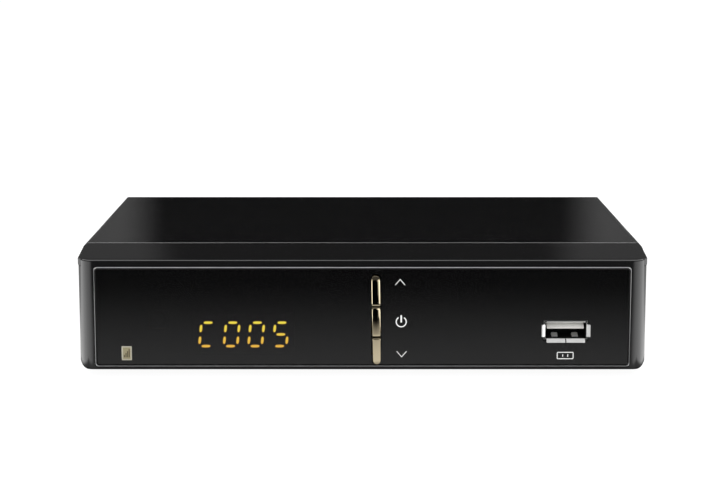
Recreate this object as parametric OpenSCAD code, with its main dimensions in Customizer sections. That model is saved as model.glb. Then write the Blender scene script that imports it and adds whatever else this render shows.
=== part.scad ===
// Digital converter box: a low gloss black case with a sloped brow, a wide display window,
// an upright strip of three chrome keys, a data port in front and picture, sound and antenna
// sockets behind. Sizes are in millimetres. The front faces -Y and the feet stand on Z = 0.

/* [Case] */
// Width of the case across its front
case_w = 170; // [160:1:210]
// Depth from the front face to the rear rim of the shells
case_d = 118; // [112:1:160]
// Height of the front face, from the underside to the front edge of the brow
front_h = 33.2; // [32:0.1:42]
// How far the brow runs back before the roof levels out
brow_d = 18; // [12:0.5:30]
// How much the roof rises over the brow
brow_rise = 2.3; // [1:0.1:5]
// Radius of the front corners of the brow, seen from above
brow_corner_r = 1.5; // [0.5:0.1:2.5]
// Wall of the two shells
wall = 2; // [1.6:0.1:2.4]
// Radius of the long lower edges
lower_edge_r = 3; // [2.4:0.1:4]
// Radius of the long upper edges
upper_edge_r = 0.8; // [0.5:0.1:1.5]
// Height of the seam between the shells above the underside
seam_z = 9; // [7:0.5:12]
// Height of the tongue that locates one shell inside the other
tongue_h = 1.6; // [1:0.1:2.4]

/* [Front bezel] */
// Radius of the upright corners of the bezel
bezel_corner_r = 4.5; // [3:0.1:6]
// Straight return of the bezel behind its corners
bezel_return = 0.5; // [0.3:0.1:2]
// Radius of the upper corners of the bezel, seen from the front
bezel_top_r = 1.2; // [0.6:0.1:2]
// Thickness of the front wall of the bezel, with the window in it
bezel_t = 3.2; // [2.8:0.1:3.4]
// Width of the land on top of the bezel, in front of the brow
land_d = 1.6; // [1.2:0.1:2.4]
// How far the skirt of the bezel reaches into the shells
skirt_d = 6; // [4:0.5:9]
// Thickness of the skirt
skirt_t = 1.5; // [1.2:0.1:1.8]

/* [Display window] */
// Flat left on the bezel at each end of the window
window_side = 0.5; // [0.4:0.1:3]
// Margin of the bezel under the window
window_low = 0.95; // [0.8:0.05:1.6]
// Margin of the bezel over the window
window_high = 2.05; // [1.6:0.05:3]
// Thickness of the window
window_t = 1.6; // [1.2:0.1:2]
// Radius of the corners of the window
window_r = 1; // [0.5:0.1:2]
// Bevel polished round the front of the window
window_bevel = 0.4; // [0.2:0.05:0.6]

/* [Keys] */
// Place of the key strip across the front, from the middle
key_x = 4.1; // [-6:0.1:20]
// Width of a key
key_w = 2.65; // [2.2:0.05:3.6]
// Height of a key
key_h = 8.8; // [8:0.1:9.2]
// Gap between one key and the next
key_gap = 0.45; // [0.35:0.05:0.6]
// Height of the lowest key over the lower edge of the window
key_low = 0.8; // [0.6:0.05:1.2]
// How far the keys stand out of the window
key_proud = 1.2; // [0.9:0.1:1.3]
// Radius of the round crown of a key, as a share of its width
key_crown = 0.57; // [0.52:0.01:1]
// How far a key is pressed in
key_travel = 0.5; // [0.3:0.05:0.6]
// Clearance round a key
key_clearance = 0.15; // [0.1:0.01:0.2]
// Reach of the foot of a key beyond each side, which keeps the key in
key_foot_side = 1.2; // [0.8:0.1:1.6]
// Height of the foot of a key
key_foot_h = 5; // [4:0.1:5.4]

/* [Switches] */
// Width and height of a switch body
switch_w = 4.5; // [4:0.1:4.8]
// Depth of a switch body
switch_d = 3.4; // [3:0.1:3.6]
// Radius of a plunger
plunger_r = 1.5; // [1.2:0.05:1.8]
// How far a plunger stands out of its switch
plunger_out = 1.1; // [0.9:0.1:1.2]
// Height of the switches over the middle of their keys
switch_lift = 0.8; // [0.7:0.1:1]

/* [Readout] */
// Distance of the middle of the readout from the left side of the case
readout_side = 49.5; // [46:0.5:60]
// Height of the middle of the readout
readout_z = 10.7; // [10.6:0.1:18]
// Height of a figure
figure_h = 8.3; // [7:0.1:9.5]
// Width of a figure
figure_w = 5.1; // [4:0.1:5.6]
// Distance from one figure to the next
figure_pitch = 7.36; // [6.8:0.02:7.8]
// Width of a segment
segment_t = 0.95; // [0.7:0.05:1.2]
// Gap left at each end of a segment
segment_cut = 0.55; // [0.3:0.05:0.7]
// Lean of the figures in degrees
figure_lean = 6; // [0:1:10]
// Width, depth and height of the module that carries the figures
module_size = [30.4, 7, 13]; // [6:0.1:40]

/* [Receiver eye] */
// Distance of the eye from the left side of the case
eye_side = 24; // [20:0.5:28]
// Height of the middle of the eye
eye_z = 15; // [12:0.5:22]
// Width and height of the eye
eye_w = 6; // [5:0.1:7]
// Depth of the eye behind its lens
eye_d = 3.6; // [2.5:0.1:3.8]

/* [Champagne plate] */
// Distance of the plate from the left side of the case
plate_side = 14.5; // [10:0.5:18]
// Height of the middle of the plate
plate_z = 5.1; // [4:0.1:20]
// Width, thickness and height of the plate
plate_size = [3.05, 0.25, 4.3]; // [0.2:0.05:6]
// Width of the raised rim of the plate
plate_rim = 0.4; // [0.2:0.05:0.8]

/* [Data port] */
// Distance of the port from the right side of the case
port_side = 24.3; // [23:0.1:30]
// Height of the middle of the port
port_z = 12; // [11:0.1:15]
// Width of the shell of the port
port_w = 13.1; // [12.6:0.1:14]
// Height of the shell of the port
port_h = 5.7; // [5.4:0.1:6.4]
// Length of the shell of the port
port_d = 14; // [13:0.5:18]
// Sheet of the shell of the port
port_sheet = 0.4; // [0.3:0.05:0.5]
// Reach of the flared lips beyond the shell
port_lip = 0.75; // [0.5:0.05:0.85]
// Clearance round the port where it passes through the front
port_clearance = 0.25; // [0.2:0.05:0.4]

/* [Rear panel and sockets] */
// Depth of the panel inside the rear rim
panel_inset = 1; // [0.6:0.1:2]
// Thickness of the rear panel
panel_t = 1.2; // [1:0.1:1.6]
// Height of the round sockets above the main board
socket_rise = 7.5; // [7:0.1:9]
// Clearance of each socket in the rear panel
socket_clearance = 0.3; // [0.2:0.05:0.5]
// Radius of the threaded barrel of an antenna socket
antenna_r = 4.7; // [4.6:0.05:4.8]
// Length of the threaded barrel
antenna_l = 8; // [7:0.1:8.5]
// Distance between the two antenna sockets
antenna_pitch = 20; // [16:0.5:24]
// Radius of the insulator of an antenna socket
antenna_core_r = 3.5; // [3:0.1:3.8]
// Radius of the hole in the insulator
antenna_bore_r = 0.75; // [0.6:0.05:0.9]
// Width of the digital picture socket
picture_w = 15; // [14:0.1:16]
// Height of the digital picture socket
picture_h = 5.8; // [5.4:0.1:6.4]
// Length of the digital picture socket
picture_d = 11; // [10:0.5:14]
// Sheet of the digital picture socket
picture_sheet = 0.5; // [0.3:0.05:0.6]
// Distance from one sound or picture jack to the next
jack_pitch = 14; // [13:0.1:16]
// Radius of a jack sleeve
jack_r = 4.15; // [4.05:0.05:4.25]
// Length of a jack sleeve
jack_l = 9; // [8.6:0.1:10]
// Radius of the hole in a jack
jack_bore_r = 1.65; // [1.6:0.05:1.75]
// Depth of the hole in a jack
jack_bore_l = 8.6; // [7:0.1:8.8]
// Depth of the blocks that hold the jacks
jack_block_d = 12; // [9:0.5:16]
// Width, depth and height of the power socket
power_size = [9, 13, 11]; // [8:0.5:16]
// Height of the hole in the power socket above the main board
power_rise = 6; // [5:0.1:6.6]
// Radius of the hole in the power socket
power_bore_r = 2.85; // [2.7:0.05:3]
// Depth of the hole in the power socket
power_bore_l = 9.5; // [8.5:0.1:11]
// Radius of the pin of the power socket
power_pin_r = 1.05; // [0.8:0.05:1.2]

/* [Boards] */
// Thickness of both boards
board_t = 1.6; // [1.2:0.1:2]
// Width left between the main board and each side wall for the case screws
board_margin = 13; // [12:0.5:14]
// Radius of the posts under the main board
board_post_r = 3; // [2.5:0.1:4]
// Radius of the posts that carry the front board
front_post_r = 2.3; // [2:0.1:2.6]

/* [Ribbon cable] */
// Width of the ribbon
ribbon_w = 16; // [10:0.5:19]
// Thickness of the ribbon
ribbon_t = 0.5; // [0.3:0.05:0.8]
// Inner radius of its bend
ribbon_bend = 4; // [3:0.1:5]
// Width, depth and height of each of its headers
header_size = [20, 4.4, 5]; // [3:0.1:24]

/* [Parts on the main board] */
// Width of the tuner can
can_w = 40; // [38:0.5:42]
// Depth of the tuner can
can_d = 30; // [20:0.5:36]
// Width and depth of the processor
processor_w = 22; // [16:0.5:26]
// Thickness of the processor
processor_t = 1.8; // [1:0.1:3]
// Thickness of the thermal pad
pad_t = 0.5; // [0.3:0.1:1]
// Width and depth of the heat sink
sink_w = 26; // [20:0.5:30]
// Thickness of the base of the heat sink
sink_base = 2.2; // [1.5:0.1:3]
// Fins on the heat sink
fin_count = 7; // [4:1:9]
// Thickness of a fin
fin_t = 1.2; // [0.8:0.1:1.6]
// Height of a fin
fin_h = 7; // [4:0.5:10]
// Width, depth and height of the memory chip
memory_size = [12, 18, 1.2]; // [1:0.1:20]
// Width, depth and height of the flash chip
flash_size = [6, 5, 1.8]; // [1:0.1:8]
// Width, depth and height of the crystal can
crystal_size = [11, 4.6, 3.4]; // [1:0.1:12]
// Width, depth and height of the power inductor
inductor_size = [12, 12, 6]; // [4:0.1:14]
// Width, depth and height of the regulator
regulator_size = [6.5, 6, 2.3]; // [1:0.1:8]
// Storage capacitors in a row
capacitor_count = 3; // [1:1:3]
// Radius of a storage capacitor
capacitor_r = 4; // [2.5:0.1:5]
// Height of a storage capacitor
capacitor_h = 11; // [6:0.5:16]

/* [Fasteners and feet] */
// Height of the feet under the case
foot_h = 2.5; // [1.5:0.1:5]
// Radius of a foot
foot_r = 5; // [4:0.1:7]
// Depth of the recess that holds a foot
foot_recess = 0.6; // [0.4:0.1:1]
// Distance of the feet from the sides of the case
foot_side = 20; // [16:0.5:30]
// Distance of the feet from the front face and the rear rim
foot_end = 20; // [18:0.5:30]
// Radius of the shank of a case screw
case_screw_r = 1.5; // [1.2:0.05:1.6]
// Length of the shank of a case screw
case_screw_l = 14; // [10:0.5:20]
// Height of the seat of a case screw above the underside
case_seat_z = 5; // [4:0.1:7]
// Height at which the screw posts of the two shells meet
boss_z = 10.5; // [9.5:0.1:14]
// Radius of the shank of a board or panel screw
board_screw_r = 1.1; // [0.9:0.05:1.2]
// Height of the head of a board or panel screw
board_head_h = 1.4; // [1:0.1:1.8]

/* [Vents] */
// Width of a vent slot
vent_w = 1.8; // [1.2:0.1:2.4]
// Distance from one vent slot to the next
vent_pitch = 4; // [3.6:0.1:4.6]
// Slots in each side vent
side_vents = 14; // [6:1:16]
// Height of the lower end of the side vents
side_vent_z = 15; // [14.5:0.5:18]
// Length of a side slot
side_vent_l = 12; // [8:0.5:14]
// Slots in each row of vents underneath
under_vents = 11; // [6:1:12]
// Length of a slot underneath
under_vent_l = 18; // [10:0.5:22]

/* [Hidden] */
$fn = 64;
// Clearance between pieces that slide together when the case is closed
fit_gap = 0.15;
// Open gap at a seam that shows
seam_gap = 0.2;
// Clearance between a screw and the hole it turns into, and round other close fits
thread_gap = 0.05;
// Clearance between boards and what stands beside them
board_gap = 0.4;
// Smallest radius left on an inner corner
least_r = 0.3;
// How far a cut runs past the face that it opens
over = 1;
// How far joined solids of one piece run into each other
bond = 0.5;
// How far the cutting shapes reach beyond the whole case
far = 10;
// Room left under the tip of a screw
tip_room = 0.6;
// Cross recess of a screw: its length and width over the radius of the head, and its floor over the height
recess = [1.2, 0.24, 0.4];
// Case
case_h = front_h + brow_rise;
brow_slope = brow_rise / brow_d;
brow_stretch = sqrt(1 + brow_slope * brow_slope);
bezel_d = bezel_corner_r + bezel_return;
shell_y = bezel_d + seam_gap;
skirt_inset = wall + fit_gap + skirt_t;
// Rear panel and sockets, from the front face back
panel_out = case_d - panel_inset;
panel_in = panel_out - panel_t;
socket_y = panel_in - board_gap;
groove_depth = wall / 2;
// How far the antenna shoulders, jack collars, picture socket and power socket stand out of the panel
shoulder_reach = 1;
collar_reach = 0.8;
picture_reach = 0.3;
power_reach = 0.5;
shoulder_out = panel_out + shoulder_reach;
collar_out = panel_out + collar_reach;
rear_reach = max(shoulder_out + antenna_l, collar_out + jack_l);
// The origin is under the middle of the whole object, keys and sockets included
front_y = -(rear_reach - max(key_proud, port_lip)) / 2;
// Window
window_w = case_w - 2 * (bezel_corner_r + window_side);
window_h = front_h - window_low - window_high;
// Keys and their switches, lowest first
key_pitch = key_h + key_gap;
strip_z = window_low + key_low;
strip_h = 3 * key_h + 2 * key_gap;
// Flat left between the corners of a round end
end_flat = 0.02;
key_end_r = key_w / 2 + key_clearance - end_flat / 2;
key_crown_r = key_crown * key_w;
key_back = bezel_t - key_travel - thread_gap;
key_foot_y = bezel_t + fit_gap;
// How much narrower and lower the stem of a key is than the key and its foot
key_stem_in = [0.4, 1];
key_stem_w = key_w - key_stem_in[0];
key_stem_h = key_foot_h - key_stem_in[1];
plunger_bite = 0.6;
plunger_room = 0.2;
function key_z(level) = strip_z + level * key_pitch + key_h / 2;
function switch_z(level) = key_z(level) + switch_lift;
// Front board and what stands on it
readout_x = readout_side - case_w / 2;
// Room between the window and the readout
module_gap = 0.5;
module_y = window_t + module_gap;
segment_d = 0.2;
port_x = case_w / 2 - port_side;
// Data port: inside of its shell, and its rear wall
port_in_w = port_w - 2 * port_sheet;
port_in_h = port_h - 2 * port_sheet;
port_rear = port_d - port_sheet;
// Lips of the port: where they join the shell and where the flare begins, and half the split between two
lip_root = 0.4;
lip_bend = 0.15;
lip_split = 0.15;
// Corner left open between two lips: across and up
lip_corner = [0.8, 1];
// Sprung tabs in the floor of the port: width, place over the width, depths of their ends and top, and rise
port_tab_w = 2.2;
port_tab_side = 0.2;
port_tab_y = [1.2, 4.4, 7.2];
port_tab_rise = 0.55;
// Tongue of the port: root, and front, underside, thickness and narrowing of its plate
port_root_d = 3.4;
port_plate_y = 1.4;
port_plate_z = 0.25;
port_plate_t = 1.85;
port_plate_in = 1.2;
// Contacts under the plate
contact_pitch = 2.4;
contact_y = 2.4;
contact_w = 1;
contact_t = 0.2;
front_board_y = module_y + module_size[1];
front_board_rear = front_board_y + board_t;
// Room between the front board and the side of the bezel, and between it and the port
front_board_side = 10;
port_room = 3;
front_board_x0 = skirt_inset + front_board_side - case_w / 2;
front_board_x1 = port_x - port_w / 2 - port_room;
front_board_z0 = skirt_inset + board_gap;
front_board_z1 = roof_z(front_board_y, skirt_inset) - board_gap;
post_edge = front_post_r + board_gap;
front_post_x = [front_board_x0 + post_edge, front_board_x1 - post_edge];
front_post_z = [front_board_z0 + post_edge, front_board_z1 - post_edge];
switch_front = front_board_y - switch_d;
key_foot_rear = switch_front - plunger_out;
eye_x = eye_side - case_w / 2;
// Radius of the lens over the width of the eye
eye_lens = 0.36;
eye_lens_r = eye_w * eye_lens;
plate_x = plate_side - case_w / 2;
// Half width and half height of a figure, along the middle of its segments
run_x = (figure_w - segment_t) / 2;
run_z = (figure_h - segment_t) / 2;
// Middle of each segment and whether it stands upright: from the top clockwise, with the bar last
segments = [
    [0, run_z, false], [run_x, run_z / 2, true], [run_x, -run_z / 2, true], [0, -run_z, false],
    [-run_x, -run_z / 2, true], [-run_x, run_z / 2, true], [0, 0, false],
];
// Segments lit in each figure: a letter for channel and three digits
lit = [[0, 3, 4, 5], [0, 1, 2, 3, 4, 5], [0, 1, 2, 3, 4, 5], [0, 2, 3, 5, 6]];
// Main board, with a tab under the data port
board_z = port_z - port_h / 2;
board_w = case_w - 2 * wall - 2 * board_margin;
// Room between the two boards
board_room = 3;
board_front = front_board_rear + board_room;
board_rear = socket_y - board_gap;
tab_edge = 1.5;
tab_front = bezel_t + board_gap;
tab_x0 = port_x - port_w / 2 - tab_edge;
tab_x1 = port_x + port_w / 2 + tab_edge;
// Board left round a post, and the distance between the front and the rear posts
post_margin = 3;
post_run = 52;
post_inset = board_post_r + post_margin;
board_posts = [
    [post_inset - board_w / 2, board_front + post_inset],
    [tab_x0 - post_inset, board_front + post_inset],
    [post_inset - board_w / 2, board_front + post_inset + post_run],
    [board_w / 2 - post_inset, board_front + post_inset + post_run],
];
socket_z = board_z + socket_rise;
// Ribbon cable, behind the readout
ribbon_x = readout_x;
ribbon_out = ribbon_bend + ribbon_t;
// Straight stretches of the ribbon before and after its bend
ribbon_straight = [2, 1];
front_header_z = board_z + header_size[2] + ribbon_out + ribbon_straight[1];
ribbon_z = front_header_z + header_size[2] / 2;
main_header_y = front_board_rear + header_size[1] + ribbon_straight[0] + ribbon_bend;
ribbon_y = main_header_y - ribbon_t / 2;
// Parts in the middle of the main board
processor_x = 8;
// Distance of the processor from the front edge of the board
processor_back = 40;
processor_y = board_front + processor_back;
// Edge of the processor left bare round the pad
pad_edge = 1;
pad_w = processor_w - 2 * pad_edge;
sink_z = board_z + processor_t + pad_t;
// Room between the heat sink and the parts beside it
part_gap = 6;
memory_x = processor_x - sink_w / 2 - part_gap - memory_size[0] / 2;
flash_x = processor_x + sink_w / 2 + part_gap + flash_size[0] / 2;
crystal_x = processor_x + sink_w / 2 + part_gap + crystal_size[0] / 2;
crystal_y = processor_y - sink_w / 2;
// Parts of the power supply, in front of the power socket
capacitor_gap = 3;
capacitor_pitch = 2 * capacitor_r + capacitor_gap;
capacitor_y = board_rear - power_size[1] - 2 * capacitor_r - capacitor_gap;
// Room in front of the capacitors, and how far the regulator and the inductor are from the side of the board
supply_gap = 8;
regulator_side = 37;
inductor_side = 20;
regulator_x = board_w / 2 - regulator_side;
regulator_y = capacitor_y - capacitor_r - regulator_size[1] - supply_gap;
inductor_x = board_w / 2 - inductor_side;
// Depth of the round dip in the top of the inductor
inductor_dip = 1;
inductor_y = capacitor_y - capacitor_r - inductor_size[1] - supply_gap;
// Rear sockets across the panel, from one edge of the main board to the other
// How much lower than twice the rise of the sockets the can and the jack blocks are
can_drop = 1;
block_drop = 0.5;
// Board left beside the can and the power socket
socket_edge = 2;
// Room between the can and the picture socket, between that and the jacks, and extra before the last jack
picture_gap = 2.5;
jack_gap = 4.5;
coax_gap = 1.5;
can_h = 2 * socket_rise - can_drop;
can_x = can_w / 2 + socket_edge - board_w / 2;
antenna_x = [can_x - antenna_pitch / 2, can_x + antenna_pitch / 2];
// Shoulder round the barrel of an antenna socket, and how far its insulator is set in
shoulder_side = 0.7;
antenna_core_inset = 0.4;
shoulder_r = antenna_r + shoulder_side;
antenna_core_out = shoulder_out + antenna_l - antenna_core_inset;
picture_x = can_x + can_w / 2 + picture_w / 2 + picture_gap;
picture_out = panel_out + picture_reach;
picture_rear = picture_out - picture_d + picture_sheet;
picture_z = board_z + picture_h / 2;
// Cut lower corners of the picture socket, as shares of half its height: where they start and their width
picture_step = 0.2;
picture_cut = 0.6;
// Tongue of the picture socket and the depth of its root
picture_root = 2;
picture_tongue_size = [picture_w - 3.4, picture_d - picture_root - 1, 1.7];
block_h = 2 * socket_rise - block_drop;
// Collar round a jack, sheet of its sleeve, how far its core is set in, and block left beside a collar
collar_side = 0.9;
sleeve_t = 0.55;
jack_core_inset = 0.6;
block_edge = 0.6;
collar_r = jack_r + collar_side;
jack_core_r = jack_r - sleeve_t;
jack_core_out = collar_out + jack_l - jack_core_inset;
video_x = picture_x + picture_w / 2 + collar_r + jack_gap;
jack_x = [video_x, video_x + jack_pitch, video_x + 2 * jack_pitch];
coax_x = jack_x[2] + jack_pitch + coax_gap;
all_jack_x = [jack_x[0], jack_x[1], jack_x[2], coax_x];
power_x = board_w / 2 - power_size[0] / 2 - socket_edge;
power_z = board_z + power_rise;
// Wall round the hole of the power socket
power_wall = 1.15;
power_nose_r = power_bore_r + power_wall;
power_out = panel_out + power_reach;
// How far the power pin stays inside its socket
pin_inset = 0.8;
panel_screw_x = [(jack_x[0] + jack_x[1]) / 2, (jack_x[1] + jack_x[2]) / 2];
// Wall over the panel screws in their block, and the length of their shanks
panel_screw_wall = 0.8;
panel_screw_l = 7;
panel_screw_z = board_z + block_h - board_screw_r - panel_screw_wall;
// Screw places
// Wall of a screw post, and its distance from the side wall, the skirt of the bezel and the rear panel
boss_wall = 2.8;
boss_side = 1.2;
boss_front = 0.6;
boss_rear = 1;
// How far the heads reach beyond the shanks, and the height of a case screw's head
case_head_side = 1.2;
board_head_side = 1.1;
case_head_h = 2;
boss_r = case_screw_r + boss_wall;
boss_x = case_w / 2 - wall - boss_r - boss_side;
boss_y = [bezel_d + skirt_d + boss_r + boss_front, panel_in - boss_r - boss_rear];
case_head_r = case_screw_r + case_head_side;
board_head_r = board_screw_r + board_head_side;
// Feet and vents
foot_x = case_w / 2 - foot_side;
foot_y = [foot_end, case_d - foot_end];
// Distance of the middle of the side vents from the rear rim
side_vent_back = 47.2;
side_vent_y = case_d - side_vent_back;
under_vent_gap = 10;
under_vent_y = [case_d / 2 - under_vent_gap / 2 - under_vent_l, case_d / 2 + under_vent_gap / 2];

// Moves to the case: across from the middle, back from the front face, up from the underside
module in_case()
    translate([0, front_y, foot_h])
        children();

// Carries an outline drawn across and up from one depth to another
module run_back(from, to)
    translate([0, to, 0])
        rotate([90, 0, 0])
            linear_extrude(to - from)
                children();

// Carries an outline drawn back and up from one side to the other
module run_across(from, to)
    translate([from, 0, 0])
        rotate([90, 0, 90])
            linear_extrude(to - from)
                children();

// Carries an outline drawn across and back from one height to another
module run_up(from, to)
    translate([0, 0, from])
        linear_extrude(to - from)
            children();

// Round bar that runs back from one depth to another
module bar_back(x, z, r, from, to)
    translate([x, to, z])
        rotate([90, 0, 0])
            cylinder(r = r, h = to - from);

// Block given by its middle across, its front, its foot and its size
module block(x, y, z, size)
    translate([x - size[0] / 2, y, z])
        cube(size);

// Upright outline that stands on the axis, with its lower and its upper corners rounded
module upright_outline(w, h, low_r, top_r) {
    translate([-w / 2, low_r])
        square([w, h - low_r - top_r]);
    translate([-w / 2 + low_r, 0])
        square([w - 2 * low_r, h / 2]);
    translate([-w / 2 + top_r, h / 2])
        square([w - 2 * top_r, h / 2]);
    for (side = [-1, 1]) {
        translate([side * (w / 2 - low_r), low_r])
            circle(low_r);
        translate([side * (w / 2 - top_r), h - top_r])
            circle(top_r);
    }
}

function inner_r(r, inset) = max(r - inset, least_r);

// Section across the case behind the brow, drawn in by an inset
module case_section(inset)
    translate([0, inset])
        upright_outline(case_w - 2 * inset, case_h - 2 * inset, inner_r(lower_edge_r, inset),
            inner_r(upper_edge_r, inset));

// Height of the brow at a depth, drawn in by an inset
function roof_z(y, inset) = front_h + brow_slope * y - inset * brow_stretch;

// Room over the brow, drawn in by an inset
module over_brow(inset)
    run_across(-case_w, case_w)
        polygon([
            [-far, roof_z(-far, inset)],
            [brow_d + far, roof_z(brow_d + far, inset)],
            [brow_d + far, case_h + far],
            [-far, case_h + far],
        ]);

// Solid of the case between two depths, drawn in by an inset
module case_solid(inset, from, to)
    difference() {
        run_back(from, to)
            case_section(inset);
        over_brow(inset);
    }

// Room ahead of the shells and under the brow, which the bezel fills
module bezel_room()
    run_across(-case_w, case_w)
        polygon([
            [-over, -over],
            [shell_y, -over],
            [shell_y, roof_z(shell_y, wall)],
            [-over, roof_z(-over, wall)],
        ]);

// Corner left over when an upright corner at the front left is rounded
module corner_waste(r)
    difference() {
        translate([-over, -over])
            square(r + over);
        translate([r, r])
            circle(r);
    }

// Pair of upright corner cuts at the front edge of the brow
module brow_corner_cuts()
    for (side = [0, 1])
        mirror([side, 0, 0])
            translate([-case_w / 2, land_d + seam_gap, 0])
                run_up(front_h - 2 * wall, case_h + over)
                    corner_waste(brow_corner_r);

module case_screw_places()
    for (x = [-boss_x, boss_x], y = boss_y)
        translate([x, y, 0])
            children();

// Groove in the walls that holds the edge of the rear panel
module panel_groove()
    run_back(panel_in - fit_gap, panel_out + fit_gap)
        case_section(wall - groove_depth);

// Slots through both side walls
module side_vent_slots()
    for (i = [0 : side_vents - 1])
        translate([-case_w, side_vent_y + (i - (side_vents - 1) / 2) * vent_pitch - vent_w / 2,
                side_vent_z])
            cube([2 * case_w, vent_w, side_vent_l]);

module top_shell()
    color("#141414")
        in_case()
            difference() {
                union() {
                    difference() {
                        case_solid(0, land_d + seam_gap, case_d);
                        case_solid(wall, -over, case_d + over);
                        bezel_room();
                        brow_corner_cuts();
                        panel_groove();
                        side_vent_slots();
                    }
                    intersection() {
                        case_screw_places()
                            translate([0, 0, boss_z])
                                cylinder(r = boss_r, h = case_h);
                        case_solid(wall / 2, 0, case_d);
                    }
                }
                shell_rebate();
                case_screw_places()
                    translate([0, 0, boss_z - over])
                        cylinder(r = case_screw_r + thread_gap,
                            h = case_seat_z + case_screw_l - boss_z + 2 * over);
            }

// Everything under the seam, and the inner half of the wall where the tongue stands
module shell_rebate() {
    translate([-case_w, -over, -over])
        cube([2 * case_w, case_d + 2 * over, over + seam_z]);
    difference() {
        intersection() {
            case_solid(wall / 2 - fit_gap, -over, case_d + over);
            translate([-case_w, -over, seam_z - over])
                cube([2 * case_w, case_d + 2 * over, over + tongue_h + fit_gap]);
        }
        case_solid(wall, -2 * over, case_d + 2 * over);
    }
}

// Lower part of a solid of the case, up to a height
module case_tray(inset, top)
    intersection() {
        case_solid(inset, shell_y, case_d);
        translate([-case_w, 0, -over])
            cube([2 * case_w, case_d + over, over + top]);
    }

// Slots through the floor
module under_vent_slots()
    for (y = under_vent_y, i = [0 : under_vents - 1])
        translate([(i - (under_vents - 1) / 2) * vent_pitch - vent_w / 2, y, -over])
            cube([vent_w, under_vent_l, wall + 2 * over]);

module foot_places()
    for (x = [-foot_x, foot_x], y = foot_y)
        translate([x, y, 0])
            children();

module board_post_places()
    for (place = board_posts)
        translate([place[0], place[1], 0])
            children();

module bottom_shell()
    color("#1b1b1b")
        in_case()
            difference() {
                union() {
                    difference() {
                        union() {
                            case_tray(0, seam_z - seam_gap);
                            case_tray(wall / 2, seam_z + tongue_h);
                        }
                        case_solid(wall, -over, case_d + over);
                    }
                    case_screw_places()
                        translate([0, 0, wall - bond])
                            cylinder(r = boss_r, h = boss_z - wall + bond);
                    board_post_places()
                        translate([0, 0, wall - bond])
                            cylinder(r = board_post_r, h = board_z - board_t - wall + bond);
                }
                panel_groove();
                under_vent_slots();
                foot_places()
                    translate([0, 0, -over])
                        cylinder(r = foot_r + fit_gap, h = over + foot_recess);
                case_screw_places() {
                    translate([0, 0, -over])
                        cylinder(r = case_head_r + fit_gap, h = over + case_seat_z);
                    cylinder(r = case_screw_r + fit_gap, h = boss_z + over);
                }
                board_post_places()
                    translate([0, 0, wall])
                        cylinder(r = board_screw_r + thread_gap, h = board_z);
            }

// Outline of the bezel from above, with its front corners rounded
module bezel_plan() {
    translate([-case_w / 2, bezel_corner_r])
        square([case_w, bezel_d]);
    translate([-case_w / 2 + bezel_corner_r, 0])
        square([case_w - 2 * bezel_corner_r, bezel_d]);
    for (side = [-1, 1])
        translate([side * (case_w / 2 - bezel_corner_r), bezel_corner_r])
            circle(bezel_corner_r);
}

// Room that the front edge of the brow takes behind the land of the bezel
module brow_room()
    run_across(-case_w, case_w)
        polygon([
            [land_d, roof_z(land_d, wall + seam_gap)],
            [bezel_d + over, roof_z(bezel_d + over, wall + seam_gap)],
            [bezel_d + over, case_h + far],
            [land_d, case_h + far],
        ]);

module bezel_solid()
    difference() {
        intersection() {
            run_back(0, bezel_d)
                upright_outline(case_w, roof_z(land_d, 0), lower_edge_r, bezel_top_r);
            run_up(-over, case_h + over)
                bezel_plan();
        }
        over_brow(0);
        brow_room();
    }

// Outline of the window from the front, grown by a clearance
module window_outline(gap)
    translate([0, window_low - gap])
        upright_outline(window_w + 2 * gap, window_h + 2 * gap, window_r + gap, window_r + gap);

// Outline of the slot for the three keys, with round ends
module key_slot_outline()
    translate([key_x, strip_z - key_clearance])
        upright_outline(key_w + 2 * key_clearance, strip_h + 2 * key_clearance,
            key_end_r, key_end_r);

module port_hole_outline()
    translate([port_x - port_w / 2 - port_clearance, port_z - port_h / 2 - port_clearance])
        square([port_w + 2 * port_clearance, port_h + 2 * port_clearance]);

module front_post_places()
    for (x = front_post_x, z = front_post_z)
        translate([x, 0, z])
            children();

module front_bezel()
    color("#161616")
        in_case()
            difference() {
                union() {
                    difference() {
                        union() {
                            bezel_solid();
                            case_solid(wall + fit_gap, bezel_d - bond, bezel_d + skirt_d);
                        }
                        case_solid(skirt_inset, bezel_t, bezel_d + skirt_d + over);
                    }
                    front_post_places()
                        bar_back(0, 0, front_post_r, bezel_t - bond, front_board_y);
                }
                run_back(-over, window_t)
                    window_outline(fit_gap);
                run_back(0, bezel_t)
                    key_slot_outline();
                run_back(0, bezel_t + over)
                    port_hole_outline();
                block(readout_x, 0, readout_z - module_size[2] / 2 - fit_gap,
                    [module_size[0] + 2 * fit_gap, bezel_t + over, module_size[2] + 2 * fit_gap]);
                block(eye_x, 0, eye_z - eye_w / 2, [eye_w, bezel_t + over, eye_w]);
                front_post_places()
                    bar_back(0, 0, board_screw_r + thread_gap, bezel_t, front_board_y + over);
            }

// Bevel waste along the two upright edges of the window
module window_side_waste()
    for (side = [0, 1])
        mirror([side, 0, 0])
            run_up(-over, case_h)
                polygon([
                    [window_w / 2 - window_bevel, -over],
                    [window_w / 2 - window_bevel, 0],
                    [window_w / 2, window_bevel],
                    [window_w / 2 + over, window_bevel],
                    [window_w / 2 + over, -over],
                ]);

// Bevel waste along the upper and the lower edge of the window
module window_long_waste()
    run_across(-case_w, case_w) {
        polygon([
            [-over, window_low - over],
            [window_bevel, window_low - over],
            [window_bevel, window_low],
            [0, window_low + window_bevel],
            [-over, window_low + window_bevel],
        ]);
        polygon([
            [-over, window_low + window_h + over],
            [window_bevel, window_low + window_h + over],
            [window_bevel, window_low + window_h],
            [0, window_low + window_h - window_bevel],
            [-over, window_low + window_h - window_bevel],
        ]);
    }

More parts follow.
